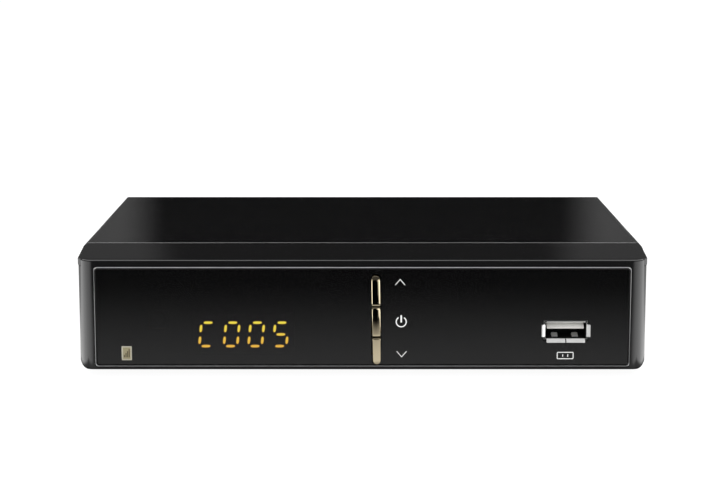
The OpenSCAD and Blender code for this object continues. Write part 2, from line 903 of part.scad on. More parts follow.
module display_window()
    color([0.05, 0.05, 0.05, 0.85])
        in_case()
            difference() {
                run_back(0, window_t)
                    window_outline(0);
                window_side_waste();
                window_long_waste();
                run_back(-over, window_t + over)
                    key_slot_outline();
                run_back(-over, window_t + over)
                    port_hole_outline();
            }

module champagne_plate()
    color("#d2bd97")
        in_case()
            difference() {
                block(plate_x, -plate_size[1], plate_z - plate_size[2] / 2, plate_size);
                block(plate_x, -plate_size[1] - over, plate_z - plate_size[2] / 2 + plate_rim,
                    [plate_size[0] - 2 * plate_rim, over + plate_size[1] / 2,
                        plate_size[2] - 2 * plate_rim]);
            }

// Half outline of a key from its middle line out: a straight side under a round crown
module key_half_section()
    intersection() {
        translate([0, -key_proud])
            square([key_w / 2, key_proud + key_back]);
        union() {
            translate([0, key_crown_r - key_proud])
                circle(key_crown_r);
            translate([0, key_crown_r - key_proud])
                square([key_w, key_back + key_proud]);
        }
    }

module key_section() {
    key_half_section();
    mirror([1, 0])
        key_half_section();
}

// Round lower end of a key, about its own middle
module key_round_end()
    rotate([-90, 0, 0])
        rotate_extrude(angle = 180)
            key_half_section();

// One key: round_low and round_top say which of its ends is domed
module key_cap(level, round_low, round_top) {
    low = key_z(level) - key_h / 2 + (round_low ? key_w / 2 : 0);
    top = key_z(level) + key_h / 2 - (round_top ? key_w / 2 : 0);
    foot_z = switch_z(level) - key_foot_h / 2;
    translate([key_x, 0, 0]) {
        run_up(low, top)
            key_section();
        if (round_low)
            translate([0, 0, low])
                key_round_end();
        if (round_top)
            translate([0, 0, top])
                mirror([0, 0, 1])
                    key_round_end();
        block(0, key_back - bond, switch_z(level) - key_stem_h / 2,
            [key_stem_w, key_foot_y - key_back + 2 * bond, key_stem_h]);
        block(0, key_foot_y, foot_z,
            [key_w + 2 * key_foot_side, key_foot_rear - key_foot_y, key_foot_h]);
    }
}

module channel_up_key()
    color("#d8ccb4")
        in_case()
            key_cap(2, false, true);

module power_key()
    color("#d8ccb4")
        in_case()
            key_cap(1, false, false);

module channel_down_key()
    color("#d8ccb4")
        in_case()
            key_cap(0, true, false);

module plunger(level)
    color("#2a2a2a")
        in_case()
            bar_back(key_x, switch_z(level), plunger_r, key_foot_rear, switch_front + plunger_bite);

module channel_up_plunger()
    plunger(2);

module power_plunger()
    plunger(1);

module channel_down_plunger()
    plunger(0);

module tact_switches()
    color("#8c8f92")
        in_case()
            for (level = [0 : 2])
                difference() {
                    block(key_x, switch_front, switch_z(level) - switch_w / 2,
                        [switch_w, switch_d, switch_w]);
                    bar_back(key_x, switch_z(level), plunger_r + fit_gap, switch_front - over,
                        switch_front + plunger_bite + key_travel + plunger_room);
                }

module front_board()
    color("#8a6a32")
        in_case()
            difference() {
                translate([front_board_x0, front_board_y, front_board_z0])
                    cube([front_board_x1 - front_board_x0, board_t, front_board_z1 - front_board_z0]);
                front_post_places()
                    bar_back(0, 0, board_screw_r + fit_gap, front_board_y - over,
                        front_board_rear + over);
            }

// Screw with its shank down and its head on the level of the axis
module screw(head_r, head_h, shank_r, shank_l)
    difference() {
        union() {
            cylinder(r = head_r, h = head_h);
            translate([0, 0, -shank_l])
                cylinder(r = shank_r, h = shank_l + head_h * recess[2] / 2);
        }
        for (turn = [0, 90])
            rotate(turn)
                translate([-head_r * recess[0] / 2, -head_r * recess[1] / 2, head_h * recess[2]])
                    cube([head_r * recess[0], head_r * recess[1], head_h]);
    }

module front_board_screws()
    color("#9a9a9a")
        in_case()
            front_post_places()
                translate([0, front_board_rear, 0])
                    rotate([-90, 0, 0])
                        screw(board_head_r, board_head_h, board_screw_r,
                            front_board_rear - bezel_t - tip_room);

module case_screws()
    color("#6f6f6f")
        in_case()
            case_screw_places()
                translate([0, 0, case_seat_z])
                    mirror([0, 0, 1])
                        screw(case_head_r, case_head_h, case_screw_r, case_screw_l);

module main_board_screws()
    color("#9a9a9a")
        in_case()
            board_post_places()
                translate([0, 0, board_z])
                    screw(board_head_r, board_head_h, board_screw_r, board_z - wall - tip_room);

module rubber_feet()
    color("#202020")
        in_case()
            foot_places()
                translate([0, 0, -foot_h])
                    cylinder(r = foot_r, h = foot_h + foot_recess);

module display_module()
    color("#1a1a1a")
        in_case()
            block(readout_x, module_y, readout_z - module_size[2] / 2, module_size);

// Leans a point of a figure to the right as it rises
function lean(point) = [point[0] + point[1] * tan(figure_lean), point[1]];

// Corners of one segment: a bar with pointed ends, lying or upright
function segment_points(segment) =
    let (upright = segment[2], half = (upright ? run_z / 2 : run_x) - segment_cut, t = segment_t / 2)
    [for (p = [[-half, 0], [t - half, t], [half - t, t], [half, 0], [half - t, -t], [t - half, -t]])
        lean([segment[0] + (upright ? p[1] : p[0]), segment[1] + (upright ? p[0] : p[1])])];

module lit_segments()
    color("#f2c83a")
        in_case()
            for (figure = [0 : 3], i = lit[figure])
                translate([readout_x + (figure - 1.5) * figure_pitch, 0, readout_z])
                    run_back(module_y - segment_d, module_y)
                        polygon(segment_points(segments[i]));

module receiver_eye()
    color("#181010")
        in_case()
            union() {
                block(eye_x, front_board_y - eye_d, eye_z - eye_w / 2, [eye_w, eye_d, eye_w]);
                translate([eye_x, front_board_y - eye_d, eye_z])
                    sphere(r = eye_lens_r);
            }

module front_header()
    color("#e6e2d8")
        in_case()
            block(ribbon_x, front_board_rear, front_header_z, header_size);

module main_header()
    color("#e6e2d8")
        in_case()
            block(ribbon_x, main_header_y - header_size[1] / 2, board_z, header_size);

// Flat cable: straight back out of the front header, then down into the main header
module ribbon_cable()
    color("#c9c9c4")
        in_case()
            run_across(ribbon_x - ribbon_w / 2, ribbon_x + ribbon_w / 2) {
                start = front_board_rear + header_size[1];
                end = board_z + header_size[2];
                turn = [ribbon_y - ribbon_bend, ribbon_z - ribbon_bend];
                translate([start, ribbon_z])
                    square([turn[0] - start, ribbon_t]);
                translate(turn)
                    difference() {
                        intersection() {
                            circle(ribbon_out);
                            square(ribbon_out + over);
                        }
                        circle(ribbon_bend);
                    }
                translate([ribbon_y, end])
                    square([ribbon_t, turn[1] - end]);
            }

module main_board()
    color("#1f5a34")
        in_case()
            difference() {
                run_up(board_z - board_t, board_z) {
                    translate([-board_w / 2, board_front])
                        square([board_w, board_rear - board_front]);
                    translate([tab_x0, tab_front])
                        square([tab_x1 - tab_x0, board_front - tab_front + over]);
                }
                board_post_places()
                    cylinder(r = board_screw_r + fit_gap, h = board_z + over);
            }

// Section of one lip from the shell out: depth first, then the distance from the middle of the port
function lip_section(half) = [
    [lip_root, half - port_sheet],
    [-lip_bend, half - port_sheet],
    [-port_lip, half + port_lip - port_sheet],
    [-port_lip, half + port_lip],
    [-lip_bend, half + lip_bend],
    [lip_root, half],
];

// Flared lips round the mouth of the port: over, under in two parts, and at both sides
module port_lips() {
    half_w = port_w / 2 - lip_corner[0];
    half_h = port_h / 2 - lip_corner[1];
    translate([port_x, 0, port_z]) {
        run_across(-half_w, half_w)
            polygon(lip_section(port_h / 2));
        for (side = [0, 1])
            mirror([side, 0, 0]) {
                mirror([0, 0, 1])
                    run_across(lip_split, half_w)
                        polygon(lip_section(port_h / 2));
                run_up(-half_h, half_h)
                    polygon([for (p = lip_section(port_w / 2)) [p[1], p[0]]]);
            }
    }
}

// Sprung tabs pressed in from the floor of the port
module port_tabs()
    for (side = [-1, 1])
        translate([port_x + side * port_w * port_tab_side, 0, port_z - port_h / 2])
            run_across(-port_tab_w / 2, port_tab_w / 2)
                polygon([
                    [port_tab_y[0], port_sheet / 2],
                    [port_tab_y[1], port_sheet + port_tab_rise],
                    [port_tab_y[2], port_sheet / 2],
                ]);

module port_shell()
    color("#c4c6c8")
        in_case() {
            difference() {
                block(port_x, 0, port_z - port_h / 2, [port_w, port_d, port_h]);
                block(port_x, -over, port_z - port_in_h / 2, [port_in_w, port_rear + over, port_in_h]);
            }
            port_lips();
            port_tabs();
        }

// Tongue of the port: a plate in its upper half, held by a block at its rear
module port_tongue()
    color("#e9e6de")
        in_case() {
            root_y = port_rear - port_root_d;
            block(port_x, root_y, port_z - port_in_h / 2, [port_in_w, port_root_d, port_in_h]);
            block(port_x, port_plate_y, port_z + port_plate_z,
                [port_in_w - port_plate_in, root_y - port_plate_y + bond, port_plate_t]);
        }

module port_contacts()
    color("#d9b45a")
        in_case()
            for (i = [-1.5, -0.5, 0.5, 1.5])
                block(port_x + i * contact_pitch, contact_y, port_z + port_plate_z - contact_t,
                    [contact_w, port_rear - port_root_d - contact_y, contact_t]);

// Round hole through the rear panel
module panel_hole(x, z, r)
    bar_back(x, z, r, panel_in - over, panel_out + over);

module rear_panel()
    color("#202020")
        in_case()
            difference() {
                run_back(panel_in, panel_out)
                    case_section(wall - groove_depth + fit_gap);
                for (x = antenna_x)
                    panel_hole(x, socket_z, shoulder_r + socket_clearance);
                for (x = all_jack_x)
                    panel_hole(x, socket_z, collar_r + socket_clearance);
                panel_hole(power_x, power_z, power_nose_r + socket_clearance);
                run_back(panel_in - over, panel_out + over)
                    translate([picture_x, picture_z])
                        picture_outline(picture_w / 2 + socket_clearance, picture_h / 2 + socket_clearance);
                for (x = panel_screw_x)
                    panel_hole(x, panel_screw_z, board_screw_r + fit_gap);
            }

module panel_screws()
    color("#9a9a9a")
        in_case()
            for (x = panel_screw_x)
                translate([x, panel_out, panel_screw_z])
                    rotate([-90, 0, 0])
                        screw(board_head_r, board_head_h, board_screw_r, panel_screw_l);

module tuner_can()
    color("#bfc3c6")
        in_case()
            block(can_x, socket_y - can_d, board_z, [can_w, can_d, can_h]);

module antenna_sockets()
    color("#d3d0c4")
        in_case()
            for (x = antenna_x)
                difference() {
                    union() {
                        bar_back(x, socket_z, shoulder_r, socket_y, shoulder_out);
                        bar_back(x, socket_z, antenna_r, shoulder_out - bond, shoulder_out + antenna_l);
                    }
                    bar_back(x, socket_z, antenna_core_r, socket_y - over, shoulder_out + antenna_l + over);
                }

module antenna_insulators()
    color("#efece4")
        in_case()
            for (x = antenna_x)
                difference() {
                    bar_back(x, socket_z, antenna_core_r - thread_gap, socket_y, antenna_core_out);
                    bar_back(x, socket_z, antenna_bore_r, antenna_core_out - antenna_l,
                        antenna_core_out + over);
                }

// Mouth of the digital picture socket: wide above, with its lower corners cut in
module picture_outline(half_w, half_h)
    polygon([
        [-half_w, half_h],
        [half_w, half_h],
        [half_w, -half_h * picture_step],
        [half_w - half_h * picture_cut, -half_h],
        [half_h * picture_cut - half_w, -half_h],
        [-half_w, -half_h * picture_step],
    ]);

module picture_socket()
    color("#c4c6c8")
        in_case()
            translate([picture_x, 0, picture_z])
                difference() {
                    run_back(picture_rear - picture_sheet, picture_out)
                        picture_outline(picture_w / 2, picture_h / 2);
                    run_back(picture_rear, picture_out + over)
                        picture_outline(picture_w / 2 - picture_sheet, picture_h / 2 - picture_sheet);
                }

module picture_tongue()
    color("#242424")
        in_case()
            translate([picture_x, 0, picture_z]) {
                run_back(picture_rear, picture_rear + picture_root)
                    picture_outline(picture_w / 2 - picture_sheet, picture_h / 2 - picture_sheet);
                block(0, picture_rear + picture_root - bond, -picture_tongue_size[2] / 3,
                    picture_tongue_size);
            }

module av_block()
    color("#1c1c1c")
        in_case()
            difference() {
                block(jack_x[1], socket_y - jack_block_d, board_z,
                    [2 * (jack_pitch + collar_r + block_edge), jack_block_d, block_h]);
                for (x = panel_screw_x)
                    bar_back(x, panel_screw_z, board_screw_r + thread_gap, panel_out - panel_screw_l - over,
                        socket_y + over);
            }

module coax_block()
    color("#1c1c1c")
        in_case()
            block(coax_x, socket_y - jack_block_d, board_z,
                [2 * (collar_r + block_edge), jack_block_d, block_h]);

// Coloured body of one jack: a collar through the panel and a bored core inside the sleeve
module jack_body(x)
    in_case()
        difference() {
            union() {
                bar_back(x, socket_z, collar_r, socket_y, collar_out);
                bar_back(x, socket_z, jack_core_r, collar_out - bond, jack_core_out);
            }
            bar_back(x, socket_z, jack_bore_r, jack_core_out - jack_bore_l, jack_core_out + over);
        }

module video_jack()
    color("#e8c61e")
        jack_body(jack_x[0]);

module left_jack()
    color("#eeeeea")
        jack_body(jack_x[1]);

module right_jack()
    color("#c02222")
        jack_body(jack_x[2]);

module coax_jack()
    color("#d9741c")
        jack_body(coax_x);

module jack_sleeves()
    color("#d3d0c4")
        in_case()
            for (x = all_jack_x)
                difference() {
                    bar_back(x, socket_z, jack_r, collar_out, collar_out + jack_l);
                    bar_back(x, socket_z, jack_core_r + thread_gap, collar_out - over,
                        collar_out + jack_l + over);
                }

module power_socket()
    color("#1c1c1c")
        in_case()
            difference() {
                union() {
                    block(power_x, socket_y - power_size[1], board_z, power_size);
                    bar_back(power_x, power_z, power_nose_r, socket_y - bond, power_out);
                }
                bar_back(power_x, power_z, power_bore_r, power_out - power_bore_l, power_out + over);
            }

module power_pin()
    color("#d3d0c4")
        in_case()
            bar_back(power_x, power_z, power_pin_r, power_out - power_bore_l, power_out - pin_inset);

module processor()
    color("#191919")
        in_case()
            block(processor_x, processor_y - processor_w / 2, board_z,
                [processor_w, processor_w, processor_t]);

module thermal_pad()
    color("#9fb2c4")
        in_case()
            block(processor_x, processor_y - pad_w / 2, board_z + processor_t, [pad_w, pad_w, pad_t]);

module heat_sink()
    color("#b4b8bc")
        in_case()
            translate([processor_x, processor_y - sink_w / 2, sink_z]) {
                block(0, 0, 0, [sink_w, sink_w, sink_base]);
                for (i = [0 : fin_count - 1])
                    block((i / (fin_count - 1) - 0.5) * (sink_w - fin_t), 0, sink_base - bond,
                        [fin_t, sink_w, fin_h + bond]);
            }

module memory_chip()
    color("#191919")
        in_case()
            block(memory_x, processor_y - memory_size[1] / 2, board_z, memory_size);

module flash_chip()
    color("#191919")
        in_case()
            block(flash_x, processor_y, board_z, flash_size);

module crystal_can()
    color("#c9ccce")
        in_case()
            block(crystal_x, crystal_y, board_z, crystal_size);

module storage_capacitors()
    color("#23324a")
        in_case()
            for (i = [0 : capacitor_count - 1])
                translate([power_x - i * capacitor_pitch, capacitor_y, board_z])
                    cylinder(r = capacitor_r, h = capacitor_h);

module power_inductor()
    color("#3a3a3a")
        in_case()
            difference() {
                block(inductor_x, inductor_y, board_z, inductor_size);
                translate([inductor_x, inductor_y + inductor_size[1] / 2,
                        board_z + inductor_size[2] - inductor_dip])
                    cylinder(r = inductor_size[0] / 3, h = inductor_dip + over);
            }

module regulator()
    color("#191919")
        in_case()
            block(regulator_x, regulator_y, board_z, regulator_size);

top_shell();
bottom_shell();
front_bezel();
display_window();
rear_panel();
rubber_feet();
case_screws();
champagne_plate();
channel_up_key();
power_key();
channel_down_key();
channel_up_plunger();
power_plunger();
channel_down_plunger();
tact_switches();
front_board();
front_board_screws();
display_module();
lit_segments();
receiver_eye();
front_header();
main_header();
ribbon_cable();
main_board();
main_board_screws();
port_shell();
port_tongue();
port_contacts();
tuner_can();
antenna_sockets();
antenna_insulators();
picture_socket();
picture_tongue();
av_block();
video_jack();
left_jack();
right_jack();
coax_block();
coax_jack();
jack_sleeves();
panel_screws();
power_socket();
power_pin();
processor();
thermal_pad();
heat_sink();
memory_chip();
flash_chip();
crystal_can();
storage_capacitors();
power_inductor();
regulator();
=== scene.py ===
"""Looks of a digital converter box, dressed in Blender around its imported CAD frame.

Sizes in the classes are millimetres in the frame of the box: x across, y back, z up.
"""

import logging
import math
from collections.abc import Callable, Iterable, Mapping, Sequence
from dataclasses import dataclass
from enum import Enum
from functools import cache
from typing import ClassVar

import bmesh
import bpy
from mathutils import Matrix, Vector


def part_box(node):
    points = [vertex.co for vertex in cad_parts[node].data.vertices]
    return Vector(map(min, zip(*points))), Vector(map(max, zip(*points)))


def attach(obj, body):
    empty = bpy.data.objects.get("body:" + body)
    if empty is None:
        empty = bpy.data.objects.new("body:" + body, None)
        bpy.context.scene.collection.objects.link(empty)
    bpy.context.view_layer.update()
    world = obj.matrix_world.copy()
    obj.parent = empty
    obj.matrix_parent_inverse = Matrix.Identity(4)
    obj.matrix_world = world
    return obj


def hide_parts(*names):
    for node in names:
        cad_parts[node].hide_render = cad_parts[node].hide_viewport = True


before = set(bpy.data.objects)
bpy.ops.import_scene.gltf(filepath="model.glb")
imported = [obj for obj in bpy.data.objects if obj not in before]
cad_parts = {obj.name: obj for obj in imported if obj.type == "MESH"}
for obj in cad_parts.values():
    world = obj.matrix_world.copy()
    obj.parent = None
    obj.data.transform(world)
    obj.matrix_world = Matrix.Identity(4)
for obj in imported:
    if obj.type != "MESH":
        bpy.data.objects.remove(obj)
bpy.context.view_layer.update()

LOG = logging.getLogger("converter_box")
MM = 0.001
TINY = 0.001
QUARTER_TURN = 90.0
FULL_TURN = 360.0

Colour = tuple[float, float, float]
Point = tuple[float, float]
Triple = tuple[float, float, float]
Quad = tuple[float, float, float, float]
Socket = bpy.types.NodeSocket
Sockets = dict[str, Socket]
Feeds = Mapping[str | int, object]

WHITE: Quad = (1.0, 1.0, 1.0, 1.0)
EVEN: Triple = (1.0, 1.0, 1.0)

FRONT_Y = -62.8
SHELL_TOP = 38.0
BEZEL_TOP = 35.7
CASE_LOW = 2.5
CASE_SIDE = 85.0


class Body(Enum):
    """The bodies of the box that a piece can ride on."""

    CASE = "case"
    CHANNEL_UP = "channel_up"
    POWER = "power"
    CHANNEL_DOWN = "channel_down"


class Wiring:
    """Adds nodes to a node tree and joins them."""

    MIX_FIRST = 6
    MIX_SECOND = 7
    MIX_RESULT = 2

    def __init__(self, tree: bpy.types.NodeTree) -> None:
        """Keeps the tree that the nodes go into."""
        self.tree = tree

    def add(self, kind: str, feeds: Feeds | None = None, **settings: object) -> bpy.types.Node:
        """Adds one node.

        Args:
            kind: Blender's name of the node.
            feeds: what goes into its sockets, by name or place: a socket to join or a value to set.
            settings: properties of the node.

        Returns:
            The new node.
        """
        node = self.tree.nodes.new(kind)
        for name, value in settings.items():
            setattr(node, name, value)
        for key, value in (feeds or {}).items():
            if isinstance(value, Socket):
                self.tree.links.new(value, node.inputs[key])
            else:
                node.inputs[key].default_value = value
        return node

    def sum(self, operation: str, *values: object, clamp: bool = False) -> Socket:
        """Adds a Math node.

        Args:
            operation: what it does.
            values: its inputs, sockets or numbers.
            clamp: keeps the result between 0 and 1.

        Returns:
            The socket that holds the result.
        """
        node = self.add("ShaderNodeMath", dict(enumerate(values)), operation=operation, use_clamp=clamp)
        return node.outputs[0]

    def ramp(self, value: object, low: float, high: float, start: float = 0.0, end: float = 1.0) -> Socket:
        """Adds a smooth step from start to end while the value goes from low to high.

        Args:
            value: the socket that is read.
            low: where the step begins.
            high: where it ends.
            start: result before the step.
            end: result after it.

        Returns:
            The socket that holds the result.
        """
        feeds = {"Value": value, "From Min": low, "From Max": high, "To Min": start, "To Max": end}
        node = self.add("ShaderNodeMapRange", feeds, interpolation_type="SMOOTHSTEP")
        return node.outputs[0]

    def mix(self, share: Socket, first: object, second: object) -> Socket:
        """Mixes two colours.

        Args:
            share: how much of the second colour shows.
            first: colour or socket at share 0.
            second: colour or socket at share 1.

        Returns:
            The socket with the mixed colour.
        """
        feeds = {0: share, self.MIX_FIRST: first, self.MIX_SECOND: second}
        return self.add("ShaderNodeMix", feeds, data_type="RGBA").outputs[self.MIX_RESULT]

    def blend(self, share: Socket, first: Socket, second: Socket) -> Socket:
        """Mixes two shaders, where the share is that of the second."""
        return self.add("ShaderNodeMixShader", {0: share, 1: first, 2: second}).outputs[0]

    def place(self) -> Socket:
        """Gives the place of a point on its piece."""
        return self.add("ShaderNodeTexCoord").outputs["Object"]

    def join(self, output: Socket, target: Socket) -> None:
        """Joins two sockets."""
        self.tree.links.new(output, target)


def fresh_nodes(owner: bpy.types.Material | bpy.types.World) -> Wiring:
    """Empties the node tree of a material or of the surroundings.

    Args:
        owner: what the tree belongs to.

    Returns:
        The wiring of the empty tree.
    """
    owner.use_nodes = True
    owner.node_tree.nodes.clear()
    return Wiring(owner.node_tree)


FLOAT_SOCKET = "NodeSocketFloat"
COLOUR_SOCKET = "NodeSocketColor"
VECTOR_SOCKET = "NodeSocketVector"
COUNT_SOCKET = "NodeSocketInt"
OBJECT_SOCKET = "NodeSocketObject"
FINISH_SOCKET = "NodeSocketMaterial"
SHAPE_SOCKET = "NodeSocketGeometry"


class GroupKind(Enum):
    """The kinds of node group that the script builds."""

    SHADER = "ShaderNodeTree"
    SHAPE = "GeometryNodeTree"


def new_group(
    name: str, inputs: Mapping[str, str], outputs: Mapping[str, str], kind: GroupKind = GroupKind.SHADER
) -> tuple[Wiring, Sockets, Sockets]:
    """Starts a node group with named sockets.

    Args:
        name: name of the group.
        inputs: kind of each input socket by its name.
        outputs: kind of each output socket by its name.
        kind: what the group makes.

    Returns:
        The group's wiring, its input sockets and its output sockets, both by name.
    """
    tree = bpy.data.node_groups.new(name, kind.value)
    for direction, sockets in (("INPUT", inputs), ("OUTPUT", outputs)):
        for label, socket in sockets.items():
            tree.interface.new_socket(name=label, in_out=direction, socket_type=socket)
    wiring = Wiring(tree)
    entry = wiring.add("NodeGroupInput").outputs
    way_out = wiring.add("NodeGroupOutput").inputs
    return wiring, {label: entry[label] for label in inputs}, {label: way_out[label] for label in outputs}


class Effects:
    """Shader groups that the finishes share, each built once."""

    MIDDLE = 0.5
    SPAN = 2.0
    FINE_SHARE = 2.7
    OCTAVES = 3.0
    WEAR_LOW = 0.03
    WEAR_HIGH = 0.35
    WEAR_SCALE = 900.0
    WEAR_SAMPLES = 4

    @classmethod
    def noise(cls, wiring: Wiring, stretch: Socket, scale: Socket) -> Socket:
        """Adds noise on the drawn-out coordinates of a piece.

        Args:
            wiring: the group's nodes.
            stretch: how the patches are drawn out.
            scale: how close they lie, per metre.

        Returns:
            The socket that holds the noise.
        """
        feeds = {0: wiring.place(), 1: stretch}
        drawn_out = wiring.add("ShaderNodeVectorMath", feeds, operation="MULTIPLY").outputs[0]
        noise_feeds = {"Vector": drawn_out, "Scale": scale, "Detail": cls.OCTAVES}
        return wiring.add("ShaderNodeTexNoise", noise_feeds).outputs[0]

    @classmethod
    @cache
    def drift(cls) -> bpy.types.NodeTree:
        """Makes the group that lets a colour and a roughness wander over the surface.

        Returns:
            The shader group.
        """
        wiring, entry, way_out = new_group(
            "drift",
            {
                "Colour": COLOUR_SOCKET,
                "Colour Drift": FLOAT_SOCKET,
                "Roughness": FLOAT_SOCKET,
                "Roughness Drift": FLOAT_SOCKET,
                "Scale": FLOAT_SOCKET,
                "Stretch": VECTOR_SOCKET,
            },
            {"Colour": COLOUR_SOCKET, "Roughness": FLOAT_SOCKET},
        )
        broad = cls.noise(wiring, entry["Stretch"], entry["Scale"])
        fine = cls.noise(wiring, entry["Stretch"], wiring.sum("MULTIPLY", entry["Scale"], cls.FINE_SHARE))
        swing = wiring.sum("MULTIPLY", wiring.sum("SUBTRACT", broad, cls.MIDDLE), cls.SPAN)
        share = wiring.sum("MULTIPLY_ADD", swing, entry["Colour Drift"], 1.0)
        scaled = wiring.add("ShaderNodeVectorMath", {0: entry["Colour"], "Scale": share}, operation="SCALE")
        wiring.join(scaled.outputs[0], way_out["Colour"])
        fine_swing = wiring.sum("MULTIPLY", wiring.sum("SUBTRACT", fine, cls.MIDDLE), cls.SPAN)
        spread, mean = entry["Roughness Drift"], entry["Roughness"]
        wiring.join(wiring.sum("MULTIPLY_ADD", fine_swing, spread, mean, clamp=True), way_out["Roughness"])
        return wiring.tree

    @classmethod
    @cache
    def grain(cls) -> bpy.types.NodeTree:
        """Makes the group that gives the height of a fine surface grain.

        Returns:
            The shader group.
        """
        inputs = {"Scale": FLOAT_SOCKET, "Stretch": VECTOR_SOCKET}
        wiring, entry, way_out = new_group("grain", inputs, {"Height": FLOAT_SOCKET})
        wiring.join(cls.noise(wiring, entry["Stretch"], entry["Scale"]), way_out["Height"])
        return wiring.tree

    @classmethod
    @cache
    def edge_wear(cls) -> bpy.types.NodeTree:
        """Makes the group that marks rubbed edges.

        Returns:
            The shader group.
        """
        wiring, entry, way_out = new_group("edge_wear", {"Width": FLOAT_SOCKET}, {"Mask": FLOAT_SOCKET})
        bent = wiring.add("ShaderNodeBevel", {"Radius": entry["Width"]}, samples=cls.WEAR_SAMPLES).outputs[0]
        true = wiring.add("ShaderNodeNewGeometry").outputs["Normal"]
        match = wiring.add("ShaderNodeVectorMath", {0: bent, 1: true}, operation="DOT_PRODUCT")
        turned = wiring.sum("SUBTRACT", 1.0, match.outputs["Value"])
        noise_feeds = {"Vector": wiring.place(), "Scale": cls.WEAR_SCALE}
        noise = wiring.add("ShaderNodeTexNoise", noise_feeds).outputs[0]
        patchy = wiring.sum("MULTIPLY", turned, noise)
        wiring.join(wiring.ramp(patchy, cls.WEAR_LOW, cls.WEAR_HIGH), way_out["Mask"])
        return wiring.tree


@dataclass(frozen=True)
class Finish:
    """One surface finish.

    Attributes:
        name: name of the material.
        colour: linear colour.
        roughness: mean roughness.
        slot: the record's material slot, or an empty word; not used.
        colour_drift: share by which the colour wanders.
        roughness_drift: amount by which the roughness wanders.
        drift_scale: how close the patches lie, per metre.
        stretch: how the patches and the grain are drawn out.
        grain_scale: how close the grain lies, per metre; 0 leaves it out.
        grain_depth: depth of the grain in millimetres.
        metallic: 1 for bare metal.
        coat: weight of a clear coat.
        specular: strength of the gloss; 0.5 is that of plain plastic.
        worn: colour of the rubbed edges, or None.
        wear_width: reach of the rubbed edges in millimetres.
    """

    name: str
    colour: Colour
    roughness: float
    slot: str = ""
    colour_drift: float = 0.12
    roughness_drift: float = 0.03
    drift_scale: float = 120.0
    stretch: Triple = EVEN
    grain_scale: float = 0.0
    grain_depth: float = 0.0
    metallic: float = 0.0
    coat: float = 0.0
    specular: float = 0.5
    worn: Colour | None = None
    wear_width: float = 0.3

    def material(self) -> bpy.types.Material:
        """Gives the material of this finish, built once.

        Returns:
            The material.
        """
        title = f"{self.name}_finish"
        found = bpy.data.materials.get(title)
        if found:
            return found
        made = bpy.data.materials.new(title)
        wiring = fresh_nodes(made)
        plain = {"Metallic": self.metallic, "Coat Weight": self.coat, "Specular IOR Level": self.specular}
        shader = wiring.add("ShaderNodeBsdfPrincipled", plain)
        drift_feeds = {
            "Colour": (*self.colour, 1.0),
            "Colour Drift": self.colour_drift,
            "Roughness": self.roughness,
            "Roughness Drift": self.roughness_drift,
            "Scale": self.drift_scale,
            "Stretch": self.stretch,
        }
        drift = wiring.add("ShaderNodeGroup", drift_feeds, node_tree=Effects.drift())
        wiring.join(self.tint(wiring, drift.outputs["Colour"]), shader.inputs["Base Color"])
        wiring.join(drift.outputs["Roughness"], shader.inputs["Roughness"])
        if self.grain_scale:
            grain_feeds = {"Scale": self.grain_scale, "Stretch": self.stretch}
            grain = wiring.add("ShaderNodeGroup", grain_feeds, node_tree=Effects.grain())
            bump_feeds = {"Height": grain.outputs["Height"], "Distance": self.grain_depth * MM}
            bump = wiring.add("ShaderNodeBump", bump_feeds)
            wiring.join(bump.outputs[0], shader.inputs["Normal"])
        self.complete(wiring, shader)
        way_out = wiring.add("ShaderNodeOutputMaterial")
        wiring.join(shader.outputs[0], way_out.inputs["Surface"])
        return made

    def tint(self, wiring: Wiring, colour: Socket) -> Socket:
        """Adds what changes the colour, such as rubbed edges.

        Args:
            wiring: the material's nodes.
            colour: the drifting colour.

        Returns:
            The colour that goes into the shader.
        """
        if self.worn is None:
            return colour
        feeds = {"Width": self.wear_width * MM}
        wear = wiring.add("ShaderNodeGroup", feeds, node_tree=Effects.edge_wear())
        return wiring.mix(wear.outputs["Mask"], colour, (*self.worn, 1.0))

    def complete(self, wiring: Wiring, shader: bpy.types.Node) -> None:
        """Sets what only some finishes have; a plain finish has nothing more."""


@dataclass(frozen=True)
class ClearFinish(Finish):
    """A tinted clear plastic.

    Attributes:
        index: how strongly it bends light.
        clearness: share of the light that passes without being scattered.
    """

    index: float = 1.49
    clearness: float = 1.0

    def complete(self, wiring: Wiring, shader: bpy.types.Node) -> None:
        """Lets light through."""
        shader.inputs["Transmission Weight"].default_value = self.clearness
        shader.inputs["IOR"].default_value = self.index


@dataclass(frozen=True)
class GlowFinish(Finish):
    """A lit readout segment: bright along its middle, darker at its outline.

    Attributes:
        low: colour at the foot of a figure.
        high: colour at its head.
        rim: colour of the outline.
        span: height of the foot and the head in millimetres.
        strength: brightness of the glow.
    """

    low: Colour = (0.84, 0.48, 0.05)
    high: Colour = (0.88, 0.74, 0.07)
    rim: Colour = (0.20, 0.08, 0.01)
    span: Point = (9.0, 17.4)
    strength: float = 1.0

    def complete(self, wiring: Wiring, shader: bpy.types.Node) -> None:
        """Adds the glow, from the height on the figure and the distance to the outline.

        Args:
            wiring: the material's nodes.
            shader: its shader.
        """
        height = wiring.add("ShaderNodeSeparateXYZ", {0: wiring.place()}).outputs["Z"]
        rise = wiring.ramp(height, self.span[0] * MM, self.span[1] * MM)
        core = wiring.mix(rise, (*self.low, 1.0), (*self.high, 1.0))
        glow = wiring.add("ShaderNodeAttribute", attribute_name="glow").outputs["Fac"]
        wiring.join(wiring.mix(glow, (*self.rim, 1.0), core), shader.inputs["Emission Color"])
        shader.inputs["Emission Strength"].default_value = self.strength


